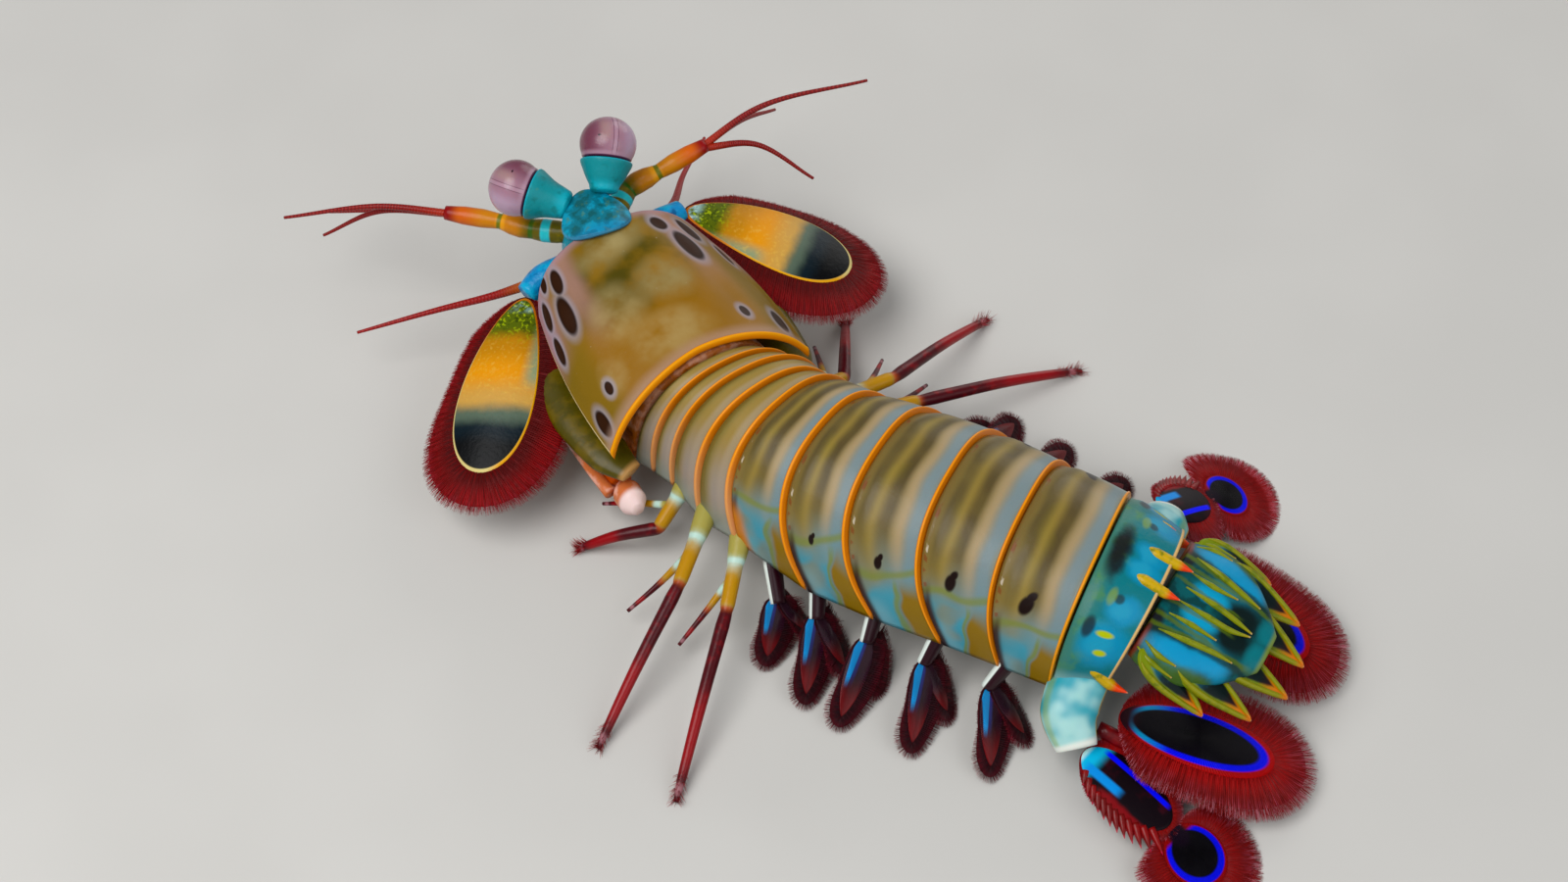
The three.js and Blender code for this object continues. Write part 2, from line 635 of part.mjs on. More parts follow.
// Antennae: a jointed base at each side of the head, with a short flagellum, and the broad fringed scale.
const ANTENNA = {
  left: {
    base: [[0.6, -44.2, 19.5], [5.2, -46.6, 18.8], [9.0, -46.9, 18.2]],
    whip: [[10.5, -52.5, 15.0], [17.5, -61.0, 10.5], [27.5, -69.0, 8.0]],
    scale: { root: [9.4, -46.6, 18.0], tip: [37.0, -32.0, 12.0], wide: 12.4, roll: 8 },
  },
  right: {
    base: [[-9.6, -39.2, 20.5], [-14.4, -39.0, 20.6], [-19.0, -38.2, 20.2]],
    whip: [[-22.0, -42.5, 16.5], [-30.5, -48.0, 12.0], [-41.0, -52.5, 9.0]],
    scale: { root: [-19.6, -38.0, 20.0], tip: [-31.6, -11.8, 14.0], wide: 13.2, roll: -8 },
  },
};
const SCALE = { egg: 0.3, sag: 4, bow: 1.5 };
const ANTENNA_RADII = [2.6, 2.5, 1.9];
for (const side of SIDES) {
  const { base, whip, scale } = ANTENNA[side];
  const shape = { ...scale, ...SCALE };
  const plate = leaf({ ...shape, thick: 1.3, edge: 0.85, fringe: fringeOf(6.2, 4.6, 0.3), steps: 34 });
  const behind = vec(scale.root).lerp(vec(scale.tip), -0.04);
  const wider = { root: behind, thick: 2.4, edge: 2.1, fringe: fringeOf(7.4, 5.8, 0.3), steps: 24 };
  const room = solid(leaf({ ...shape, ...wider }));
  const stem = limbSolid(joints(...base.map((at, i) => [at, ANTENNA_RADII[i]])), 8);
  const body = fuse(stem, thread([base[1], ...whip], 1.0, 0.28, 7));
  const taken = union([headRoom, trunkRoom, antennuleRoom[side], room, eyesRoom]);
  add("antenna_" + side, body.subtract(taken), "joint", base[0]);
  const blade = solid(plate).subtract(trunkRoom).subtract(raptorialRoom[side]);
  add("antennal_scale_" + side, blade, "scale", scale.root);
}

// Maxillipeds: three small folded limbs with round hands on each side, under the mouth.
// Each row: behind the front limb's root, beside the midline and above the floor, and the radius.
const MAXILLIPED = [
  [0, 5.0, 11, 1.5],
  [-1.5, 6.2, 6.4, 1.2],
  [-4.6, 4.6, 4.8, 1.9],
  [-6.0, 3.4, 5.2, 0.9],
];
const MAXILLIPED_ROOT = [[-27, 4.6, 12.6, 2.6], [-14, 5.4, 10.4, 2.6]];
const MAXILLIPED_STEP = 5.2; // from one limb's root to the next
for (const side of SIDES) {
  const body = (rows, back, sides) => {
    const placed = rows.map(([tail, out, z, r]) => [beside(CARAPACE, side, back + tail, out, z), r]);
    return limbSolid(joints(...placed), sides);
  };
  const pieces = [body(MAXILLIPED_ROOT, 0, 8)];
  for (let n = 0; n < 3; n++) pieces.push(body(MAXILLIPED, -26 + MAXILLIPED_STEP * n, 7));
  const cut = fuse(pieces).subtract(trunkRoom).subtract(headRoom);
  add("maxillipeds_" + side, cut, "joint", beside(CARAPACE, side, -20, 5, 11));
}

// Walking legs: slender, in three lengths, with a thin side branch and a brush of setae near the tip.
// Each side gives its root and knee behind, beside and above the segment's rear edge, and its foot on the
// floor.
const LEGS = [
  {
    from: "thorax_6",
    left: { root: [2.4, 11, 12], knee: [5.4, 19.5, 6.4], foot: [32.1, -15.9] },
    right: { root: [-1.0, 11, 12], knee: [-3.5, 21.0, 7.0], foot: [-30.5, -12.0] },
  },
  {
    from: "thorax_7",
    left: { root: [3.0, 12, 12], knee: [11.6, 25.1, 10], foot: [56.6, 10.7] },
    right: { root: [-0.5, 12, 12], knee: [1.5, 26.0, 10.5], foot: [-46.5, 6.0] },
  },
  {
    from: "thorax_8",
    left: { root: [3.4, 12, 12], knee: [11.7, 24.3, 9], foot: [55.8, 25.7] },
    right: { root: [0.5, 12, 12], knee: [6.5, 25.5, 9.5], foot: [-48.0, 24.5] },
  },
];
const FOOT = 0.5; // radius of the flat under each walking leg
const LEG_SETAE = 3;
const belowFloor = solid(new THREE.BoxGeometry(160, 200, 10).translate(0, 20, -5));

// The main branch of a walking leg: the thick base, the knee and the long end that stands on the floor.
function legStem(root, knee, shin, toe) {
  const heel = knee.clone().lerp(toe, 0.88).setZ(mix(knee.z, toe.z, 0.88) + 0.4);
  const rows = [
    [root, 2.1],
    [root.clone().lerp(knee, 0.42), 1.75],
    [root.clone().lerp(knee, 0.5), 1.45],
    [root.clone().lerp(knee, 0.92), 1.3],
    [knee, 1.05],
    [knee.clone().lerp(shin, 0.16), 1.25],
    [shin, 1.0],
    [heel, 0.8],
    [toe, FOOT],
  ];
  return limbSolid(joints(...rows), 6);
}

// One tuft of setae near the end of a leg, turned about it.
function legTuft(shin, toe, drift, i) {
  const start = shin.clone().lerp(toe, 0.7 + 0.09 * i);
  const turn = i * 2.4;
  const aside = new THREE.Vector3(drift.y, -drift.x, 0).multiplyScalar(Math.cos(turn));
  const out = aside.setZ(Math.max(Math.sin(turn), -0.1));
  const end = start.clone().addScaledVector(out, 1.7).addScaledVector(drift, 1.5);
  return spine(start, end.setZ(Math.max(end.z, 0.3)), 0.34, 3);
}

for (const side of SIDES) {
  LEGS.forEach((leg, n) => {
    const station = STATION[leg.from];
    const root = beside(station, side, ...leg[side].root);
    const knee = beside(station, side, ...leg[side].knee);
    const toe = new THREE.Vector3(...leg[side].foot, FOOT * 0.8);
    const shin = knee.clone().lerp(toe, 0.5).add(new THREE.Vector3(0, 0, 0.9));
    const pieces = [legStem(root, knee, shin, toe)];
    const drift = toe.clone().sub(knee).setZ(0).normalize();
    const branch = root.clone().lerp(knee, 0.6);
    const ahead = drift.clone().addScaledVector(axes(station).tail, -0.5).normalize();
    const bend = branch.clone().addScaledVector(ahead, 6).setZ(6.5);
    const end = branch.clone().addScaledVector(ahead, 12).setZ(3.5);
    pieces.push(thread([branch, bend, end], 0.7, 0.3, 3, 4));
    for (let i = 0; i < LEG_SETAE; i++) pieces.push(legTuft(shin, toe, drift, i));
    const taken = union([belowFloor, trunkRoom, raptorialRoom[side]]);
    add(`walking_leg_${side}_${n + 1}`, fuse(pieces).subtract(taken), "limb", root);
  });
}

// Pleopods: a flat stalk with two leaf-shaped swimming blades, one pair under each of five segments.
// Each row: the place of its joint and of its tip behind and beside the segment's rear edge.
const PLEOPODS = [
  ["abdomen_1", [5.1, 18.6], [7.6, 25.0]],
  ["abdomen_2", [0.4, 19.0], [4.4, 29.0]],
  ["abdomen_3", [-3.3, 20.0], [-2.0, 31.0]],
  ["abdomen_4", [-6.8, 19.2], [-3.6, 30.0]],
  ["abdomen_5", [-9.6, 18.4], [-4.8, 28.2]],
];
const PLEOPOD_FRINGE = 1.6;
const ACROSS = new THREE.Vector3(0, 1, 0);
for (const side of SIDES) {
  PLEOPODS.forEach(([name, jointAt, tipAt], n) => {
    const station = STATION[name];
    const rootZ = station.at[2] - station.arch * 0.88;
    const root = beside(station, side, mix(-5, jointAt[0], 0.3), 11.6, rootZ);
    const joint = beside(station, side, ...jointAt, 6.6);
    const tip = beside(station, side, ...tipAt, FLOOR_CLEAR + 1.0);
    const inner = beside(station, side, tipAt[0] + 2.4, tipAt[1] - 7.5, FLOOR_CLEAR + 0.8);
    const stalk = limbSolid(joints([root, 2.2, 1.3], [joint, 1.7, 0.9]), 6, ACROSS);
    const common = {
      root: root.clone().lerp(joint, 0.9),
      egg: 0.15,
      sag: 0.6,
      roll: -24 * sideSign[side],
      thick: 1.0,
      edge: 0.7,
      fringe: fringeOf(PLEOPOD_FRINGE, PLEOPOD_FRINGE, 0.4),
      flatBottom: FLOOR_CLEAR,
      plain: true,
    };
    const outerBlade = leaf({ ...common, tip, wide: 4.6, steps: 10 });
    const innerBlade = leaf({ ...common, tip: inner, wide: 3.6, steps: 6 });
    const body = fuse(stalk, outerBlade, innerBlade).subtract(trunkRoom);
    add(`pleopod_${side}_${n + 1}`, body, "swimmer", root);
  });
}

// Sixth abdominal segment: keels, the long ones of which end in spines behind its rear edge.
const TAIL = STATION.abdomen_6;
function onBack(share, lift, back) {
  const turn = Math.asin(Math.min(Math.abs(share), 1) ** (1 / 0.9)) * Math.sign(share);
  const drop = TAIL.arch * (1 - Math.cos(turn) ** 0.85);
  return local(TAIL.at, axes(TAIL), back, share * TAIL.half, lift - drop);
}

// Each keel: its share of the half width in front and behind, where it starts and ends, and its radius.
const KEELS_6 = [
  { front: 0.18, rear: 0.19, start: -6.0, end: 3.2, r: 1.0 },
  { front: 0.66, rear: 0.66, start: -5.0, end: -1.4, r: 0.62 },
  { front: 0.97, rear: 0.99, start: -7.6, end: 3.6, r: 1.15 },
];
function keelOf6({ front, rear, start, end, r }, sign, grow = 0) {
  const rows = [
    [onBack(front * sign, -0.6 * r, start), 0.4 * r + grow],
    [onBack(front * sign, -0.2 * r, mix(start, end, 0.35)), r + grow],
    [onBack(rear * sign, -0.1, mix(start, end, 0.75)), 0.75 * r + grow],
    [onBack(rear * sign, 0.2, end + grow), 0.15 + grow],
  ];
  return solid(limbSolid(joints(...rows), 5));
}
const bothSides = (rows, make) => rows.flatMap((row) => [make(row, 1), make(row, -1)]);
const sixthDrum = solid(drum("abdomen_5", "abdomen_6", LONG_DRUM));
const sixthBody = union([sixthDrum, ...bothSides(KEELS_6, (row, sign) => keelOf6(row, sign))]);
const fifthRoom = solid(segmentBody(SEGMENTS.at(-1), GAP));
add("abdomen_6", sixthBody.subtract(fifthRoom), "tail", TAIL.at);
const sixthRoom = solid(drum("abdomen_5", "abdomen_6", LONG_DRUM, GAP));
const spinesRoom = union(bothSides(KEELS_6, (row, sign) => keelOf6(row, sign, GAP)));

// Telson: a broad plate with keels that run out into teeth along its rear margin.
const TELSON = { at: [-9.9, 66.2, 22.6], heading: 101, pitch: 15 };
const telsonDir = axes(TELSON);
const onTelson = (back, out, up) => local(TELSON.at, telsonDir, back, out, up);

// Each row of the plate: how far back, its half width, the height of its middle and its depth above that.
const TELSON_ROWS = [
  [0, 11.0, -4.6, 4.6],
  [2.5, 12.0, -4.2, 4.3],
  [8, 12.4, -3.3, 3.4],
  [14, 11.2, -2.4, 2.3],
  [19, 7.8, -1.8, 1.3],
];
const TELSON_AROUND = 18;
function telsonPlate(grow = 0) {
  const rings = TELSON_ROWS.map(([back, half, level, deep]) => {
    const ring = [];
    for (let i = 0; i < TELSON_AROUND; i++) {
      const a = (2 * Math.PI * i) / TELSON_AROUND;
      const flat = Math.sign(Math.cos(a)) * Math.abs(Math.cos(a)) ** 0.7;
      const high = (deep + grow) * Math.sin(a) * (Math.sin(a) < 0 ? 0.5 : 1);
      ring.push(onTelson(back, (half + grow) * flat, level + high));
    }
    return ring;
  });
  return solid(loft(rings));
}

// Each keel: how far out it starts, where it starts, where its tooth ends and how far out that is, its radius
// and its height.
const TELSON_KEELS = [
  { out: 10.2, start: 2, end: 15.6, endOut: 13.4, r: 1.1, up: -2.0 },
  { out: 8.6, start: 3, end: 21.6, endOut: 10.4, r: 1.2, up: -1.4 },
  { out: 4.6, start: 2, end: 23.6, endOut: 3.2, r: 1.3, up: -0.9 },
  { out: 6.2, start: 3, end: 13.0, endOut: 6.8, r: 0.8, up: -0.4 },
  { out: 2.3, start: 2, end: 11.0, endOut: 2.6, r: 0.8, up: 0.1 },
];
function telsonKeel({ out, start, end, endOut, r, up }, sign) {
  const rows = [
    [onTelson(start, out * sign, up - 0.3), r * 0.4],
    [onTelson(mix(start, end, 0.55), mix(out, endOut, 0.4) * sign, up), r],
    [onTelson(end, endOut * sign, up - 2.2), 0.22],
  ];
  return solid(limbSolid(joints(...rows), 6));
}
const MIDDLE_KEEL = [
  [onTelson(1.5, 0, 0.2), 0.5],
  [onTelson(9, 0, 0.2), 1.2],
  [onTelson(17.5, 0, -1.2), 0.3],
];
const middleKeel = solid(limbSolid(joints(...MIDDLE_KEEL), 6));
const telsonBody = union([telsonPlate(), middleKeel, ...bothSides(TELSON_KEELS, telsonKeel)]);
add("telson", telsonBody.subtract(sixthRoom).subtract(spinesRoom), "tail", TELSON.at);
const telsonRoom = telsonPlate(0.9);

// Uropods: a stout base with a forked spine, an outer blade of two articles and a long inner blade.
const UROPOD = {
  left: {
    base: [[4.2, 62.0, 12.5], [10.5, 64.2, 10.0], [13.4, 68.0, 7.4]],
    outer: { root: [12.6, 68.8, 6.6], tip: [13.2, 85.2, 3.6], wide: 8.6 },
    outerTip: { root: [13.2, 85.6, 3.4], tip: [14.6, 95.6, 0.9], wide: 9.4 },
    inner: { root: [5.2, 69.5, 7.4], tip: [-3.0, 91.6, 4.2], wide: 8.2 },
    spines: [[8.2, 68.2, 6.6], [6.6, 78.0, 4.6], [4.0, 83.5, 4.2]],
    out: 1,
  },
  right: {
    base: [[-20.8, 56.8, 12.5], [-25.4, 55.4, 10.6], [-28.4, 54.2, 9.2]],
    outer: { root: [-28.6, 53.2, 8.6], tip: [-38.0, 56.0, 4.0], wide: 8.4 },
    outerTip: { root: [-38.4, 56.2, 3.6], tip: [-45.0, 59.6, 0.9], wide: 8.6 },
    inner: { root: [-22.4, 62.5, 8.0], tip: [-24.6, 85.0, 4.6], wide: 8.2 },
    spines: [[-25.0, 61.0, 7.4], [-31.5, 69.5, 4.8], [-31.0, 76.0, 4.4]],
    out: -1,
  },
};
const BASE_SIZES = [[3.0, 2.2], [3.4, 2.5], [3.0, 1.8]]; // half width and half depth along its stout base
const OUTER_SPINES = 6;
const INNER_BLADE = { egg: 0.12, sag: 1, bow: 0.6, steps: 24 };
const OUTER_BLADE = { egg: 0.05, sag: 0.8, steps: 24 };
const TIP_BLADE = { egg: 0, sag: 0.5, steps: 24 };

// Spines along the free edge of the outer blade, longer towards its tip.
function outerSpines({ outer, out }) {
  const from = vec(outer.root);
  const along = vec(outer.tip).sub(from);
  const across = new THREE.Vector3().crossVectors(UP, along).normalize();
  return Array.from({ length: OUTER_SPINES }, (_, i) => {
    const share = 0.22 + 0.125 * i;
    const width = outer.wide * Math.sqrt(Math.max(0.2, 1 - (2 * share - 1) ** 2));
    const edge = from.clone().addScaledVector(along, share).addScaledVector(across, (-out * width) / 2.3);
    const end = edge.clone().addScaledVector(across, -out * 1.7).addScaledVector(along, 0.05 + 0.012 * i);
    return spine(edge, end, 0.5, 4);
  });
}

const bodyRoom = union([trunkRoom, sixthRoom, telsonRoom, spinesRoom]);
for (const side of SIDES) {
  const u = UROPOD[side];
  const innerShape = { ...u.inner, ...INNER_BLADE };
  const inner = solid(leaf({ ...innerShape, thick: 1.1, edge: 0.8, fringe: fringeOf(6.0, 4.6, 0.35) }));
  const innerRoom = solid(leaf({ ...innerShape, thick: 1.9, edge: 1.5, fringe: fringeOf(6.6, 5.2, 0.35) }));
  const outerShape = { ...u.outer, ...OUTER_BLADE };
  const outer = fuse(leaf({ ...outerShape, thick: 1.5, edge: 0.9 }), outerSpines(u));
  const outerRoom = solid(leaf({ ...outerShape, thick: 2.3, edge: 1.7 }));
  const tipShape = { ...u.outerTip, ...TIP_BLADE };
  const tipFringe = fringeOf(5.0, 4.8, 0.45);
  const tip = solid(leaf({ ...tipShape, thick: 1.0, edge: 0.8, fringe: tipFringe, flatBottom: 0 }));
  const tipRoom = solid(leaf({ ...tipShape, thick: 1.8, edge: 1.5, fringe: fringeOf(5.6, 5.4, 0.45) }));
  const stem = limbSolid(joints(...u.base.map((at, i) => [at, ...BASE_SIZES[i]])), 10);
  const fork = [1, 2].map((k) => spine(u.spines[0], u.spines[k], 1.2, 6));
  const protopod = fuse(stem, fork).subtract(union([bodyRoom, innerRoom, outerRoom]));
  add("uropod_protopod_" + side, protopod, "tail", u.base[0]);
  add("uropod_exopod_" + side, outer.subtract(union([tipRoom, bodyRoom, innerRoom])), "fan", u.outer.root);
  add("uropod_exopod_tip_" + side, tip.subtract(innerRoom).subtract(bodyRoom), "fan", u.outerTip.root);
  add("uropod_endopod_" + side, inner.subtract(bodyRoom), "fan", u.inner.root);
}

export default animal;
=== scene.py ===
# A peacock mantis shrimp at life size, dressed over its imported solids. Lengths in the tables are millimetres
# in the animal's own frame, as in the source of the solids, and HOME and MM bring them into the scene.
import math

import bpy
import numpy as np
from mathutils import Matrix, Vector


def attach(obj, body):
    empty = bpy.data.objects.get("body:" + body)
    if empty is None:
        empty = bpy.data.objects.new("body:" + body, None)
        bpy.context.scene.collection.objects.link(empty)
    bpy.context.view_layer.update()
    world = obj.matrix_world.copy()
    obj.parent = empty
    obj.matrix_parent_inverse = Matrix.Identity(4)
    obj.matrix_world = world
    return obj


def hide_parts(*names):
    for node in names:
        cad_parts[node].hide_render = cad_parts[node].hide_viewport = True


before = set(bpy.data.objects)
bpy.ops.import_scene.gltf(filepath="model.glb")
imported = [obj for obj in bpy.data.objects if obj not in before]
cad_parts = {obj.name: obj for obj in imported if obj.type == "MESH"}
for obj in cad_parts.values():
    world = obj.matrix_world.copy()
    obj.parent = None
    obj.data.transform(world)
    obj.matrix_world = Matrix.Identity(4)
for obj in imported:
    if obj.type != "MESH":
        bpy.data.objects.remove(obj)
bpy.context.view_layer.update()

HOME = np.array([-0.5, -5.7, 0.0])
MM = 0.001
UP = np.array([0.0, 0.0, 1.0])
# The gap between an eye and its stalk, the seam behind a body segment, and how high its rear lip stands.
GAP, SEAM, LIP = 0.3, 0.45, 0.22
SIGN = {"left": 1, "right": -1}
draw = np.random.default_rng(7)


# Small helpers
def mix(a, b, t):
    return a + (b - a) * t


def unit(v):
    v = np.asarray(v, float)
    return v / np.maximum(np.linalg.norm(v, axis=-1, keepdims=True), 1e-9)


def ease(x, a, b):
    t = np.clip((np.asarray(x, float) - a) / (b - a), 0, 1)
    return t * t * (3 - 2 * t)


def axes(heading, pitch):
    """Tail, left and up at a station with that heading and pitch."""
    h, p = math.radians(heading), math.radians(pitch)
    tail = np.array([math.cos(h) * math.cos(p), math.sin(h) * math.cos(p), -math.sin(p)])
    left = np.array([math.sin(h), -math.cos(h), 0.0])
    return tail, left, -np.cross(tail, left)


def local(at, dirs, tail, left, up):
    tail, left, up = (np.asarray(x, float)[..., None] for x in (tail, left, up))
    return np.asarray(at, float) + tail * dirs[0] + left * dirs[1] + up * dirs[2]


def smooth_path(points, steps):
    """Points on a smooth curve through the given ones, and where each lies between 0 and 1 of them."""
    pts = np.array(points, float)
    ext = np.vstack([2 * pts[0] - pts[1], pts, 2 * pts[-1] - pts[-2]])
    gaps = np.linalg.norm(np.diff(ext[:, :3], axis=0), axis=1)
    knots = np.concatenate([[0], np.cumsum(np.maximum(gaps, 1e-6) ** 0.5)])
    out, place = [], []
    for i in range(len(pts) - 1):
        t = np.linspace(knots[i + 1], knots[i + 2], steps, endpoint=False)[:, None]
        if i == len(pts) - 2:
            t = np.linspace(knots[i + 1], knots[i + 2], steps + 1)[:, None]
        p, k = ext[i : i + 4], knots[i : i + 4]

        def blend(a, b, i, j):
            return a * (k[j] - t) / (k[j] - k[i]) + b * (t - k[i]) / (k[j] - k[i])

        first, second, third = (blend(p[n], p[n + 1], n, n + 1) for n in range(3))
        out.append(blend(blend(first, second, 0, 2), blend(second, third, 1, 3), 1, 2))
        place.append(i + (t[:, 0] - k[1]) / (k[2] - k[1]))
    return np.vstack(out), np.concatenate(place) / (len(pts) - 1)


# Meshes
class Shape:
    """Collects closed surfaces, each with its places on named UV layers."""

    def __init__(self):
        self.points, self.faces, self.uvs, self.count = [], {3: [], 4: []}, {}, 0

    def put(self, points, groups, layers):
        """Adds points and faces. A group is faces of 3 or 4 corners, and their places on each layer."""
        volume = 0.0
        for ids, _ in groups:
            a, b, c = points[ids[:, 0]], points[ids[:, 1]], points[ids[:, 2]]
            volume += np.einsum("ij,ij->i", a, np.cross(b, c)).sum()
            if ids.shape[1] == 4:
                volume += np.einsum("ij,ij->i", a, np.cross(c, points[ids[:, 3]])).sum()
        self.points.append(points)
        for ids, place in groups:
            turn = slice(None, None, -1) if volume < 0 else slice(None)
            kind = ids.shape[1]
            self.faces[kind].append(ids[:, turn] + self.count)
            for layer in layers:
                self.uvs.setdefault((layer, kind), []).append(place[layer][:, turn])
        self.count += len(points)

    def grid(self, points, layers, caps="fan"):
        """A surface of rows of closed rings. Layers have one column more than the rings. A fan or a zip
        closes the ends, and in a loop the last row meets the first."""
        rows, cols = points.shape[:2]
        ids = np.arange(rows * cols).reshape(rows, cols)
        if caps == "loop":
            ids = np.vstack([ids, ids[:1]])
        ids = np.hstack([ids, ids[:, :1]])
        flat = points.reshape(-1, 3)
        groups = []

        def quads(a):
            return np.stack([a[:-1, :-1], a[:-1, 1:], a[1:, 1:], a[1:, :-1]], 2).reshape(-1, 4, *a.shape[2:])

        groups.append((quads(ids), {k: quads(u) for k, u in layers.items()}))
        if caps == "fan":
            flat = np.vstack([flat, points[0].mean(0), points[-1].mean(0)])
            for row, middle, order in ((0, rows * cols, (1, 0)), (-1, rows * cols + 1, (0, 1))):
                ring = ids[row]
                pair = (ring[:-1], ring[1:])
                tri = np.stack([pair[order[0]], pair[order[1]], np.full(cols, middle)], 1)
                place = {}
                for k, u in layers.items():
                    both = (u[row][:-1], u[row][1:])
                    mean = np.repeat(u[row].mean(0)[None], cols, 0)
                    place[k] = np.stack([both[order[0]], both[order[1]], mean], 1)
                groups.append((tri, place))
        elif caps == "zip":
            half = cols // 2
            i = np.arange(half - 1)
            near, far = [i, i + 1], [cols - 2 - i, cols - 1 - i]
            for row, order in ((0, near[::-1] + far[::-1]), (-1, near + far)):
                quad = np.stack([ids[row][o] for o in order], 1)
                groups.append((quad, {k: np.stack([u[row][o] for o in order], 1) for k, u in layers.items()}))
        self.put(flat, groups, layers)
        return self

    def object(self, name):
        mesh = bpy.data.meshes.new(name)
        points = (np.vstack(self.points) + HOME) * MM
        quads = np.vstack(self.faces[4]) if self.faces[4] else np.zeros((0, 4), int)
        tris = np.vstack(self.faces[3]) if self.faces[3] else np.zeros((0, 3), int)
        mesh.from_pydata(points.tolist(), [], quads.tolist() + tris.tolist())
        for layer in sorted({k for k, _ in self.uvs}):
            kinds = [kind for kind in (4, 3) if (layer, kind) in self.uvs]
            parts = [np.concatenate(self.uvs[(layer, kind)]).reshape(-1, 2) for kind in kinds]
            uv = mesh.uv_layers.new(name=layer)
            uv.data.foreach_set("uv", np.concatenate(parts).astype(np.float32).ravel())
        mesh.polygons.foreach_set("use_smooth", [True] * len(mesh.polygons))
        mesh.update()
        obj = bpy.data.objects.new(name, mesh)
        bpy.context.scene.collection.objects.link(obj)
        return obj


def plain_places(rows, cols, along=None):
    """Places for a grid: around on u, and along on v."""
    along = np.linspace(0, 1, rows) if along is None else np.asarray(along)
    return np.stack(np.meshgrid(np.linspace(0, 1, cols + 1), along), 2)


def tube(shape, points, radii, sides, steps, hint=UP, deep=None):
    """A limb along a smooth path, with a radius at each given point, and a depth where it is flattened."""
    path, place = smooth_path(points, steps)
    knots = np.linspace(0, 1, len(points))
    radius = np.interp(place, knots, radii)
    tall = radius if deep is None else np.interp(place, knots, deep)
    along = unit(np.gradient(path, axis=0))
    across = np.cross(hint, along[0])
    if np.linalg.norm(across) < 0.2:
        across = np.cross(np.array([0.0, 1.0, 0.0]), along[0])
    turn = np.linspace(0, 2 * np.pi, sides, endpoint=False)
    rings = []
    for n in range(len(path)):
        across = unit(across - along[n] * np.dot(across, along[n]))
        depth = np.cross(along[n], across)
        wide, high = radius[n] * np.cos(turn)[:, None], tall[n] * np.sin(turn)[:, None]
        rings.append(path[n] + wide * across + high * depth)
    layers = {"Place": plain_places(len(path), sides, place)}
    return shape.grid(np.array(rings), layers)


def spike(shape, root, tip, radius, sides=12, bulge=0.0):
    """A tapered spine from root to tip."""
    root, tip = np.array(root, float), np.array(tip, float)
    share = np.array([0, 0.3, 0.6, 0.85, 1])
    points = root + share[:, None] * (tip - root)
    return tube(shape, points, radius * np.array([1, 0.86 + bulge, 0.58 + bulge, 0.28, 0.06]), sides, 3)


def keep(shape, name, material, slot, *nodes):
    """Finishes a piece: its material, the solids that it stands for, and the body that carries it."""
    obj = shape.object(name)
    obj.data.materials.append(material)
    if nodes:
        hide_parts(*nodes)
    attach(obj, "root")
    return obj


# Materials
RICHER, DEEPER = 1.18, 1.06


def colour(code):
    """A colour from its web code, a little deeper and richer, as wet shell is."""
    c = np.array([int(code[i : i + 2], 16) / 255 for i in (1, 3, 5)])
    line = np.where(c <= 0.04045, c / 12.92, ((c + 0.055) / 1.055) ** 2.4)
    grey = float(line @ [0.25, 0.6, 0.15])
    line = np.clip(grey + RICHER * (line - grey), 0, 1) ** DEEPER
    return (*[float(x) for x in line], 1.0)


class Value:
    """A number that varies over a surface."""

    def __init__(self, paint, socket):
        self.paint, self.socket = paint, socket

    def __abs__(self):
        return self.paint.math("ABSOLUTE", self)

    def rise(self, a, b):
        """0 before a and 1 after b, or the other way round where a is the larger."""
        node = self.paint.node("ShaderNodeMapRange", interpolation_type="SMOOTHSTEP")
        self.paint.wire(self, node.inputs[0])
        node.inputs[1].default_value, node.inputs[2].default_value = min(a, b), max(a, b)
        node.inputs[3].default_value, node.inputs[4].default_value = (0, 1) if a < b else (1, 0)
        return Value(self.paint, node.outputs[0])

    def near(self, centre, half, soft):
        return abs(self - centre).rise(half + soft, half)

    def wave(self):
        return self.paint.math("SINE", self)


def add_operator(name, kind, swapped=False):
    """Lets a sum such as value * 2 build its own node."""

    def operator(self, other):
        return self.paint.math(kind, *((other, self) if swapped else (self, other)))

    setattr(Value, name, operator)


for word, kind in (("add", "ADD"), ("sub", "SUBTRACT"), ("mul", "MULTIPLY"), ("truediv", "DIVIDE")):
    add_operator(f"__{word}__", kind)
    add_operator(f"__r{word}__", kind, swapped=True)
add_operator("least", "MINIMUM")
add_operator("most", "MAXIMUM")


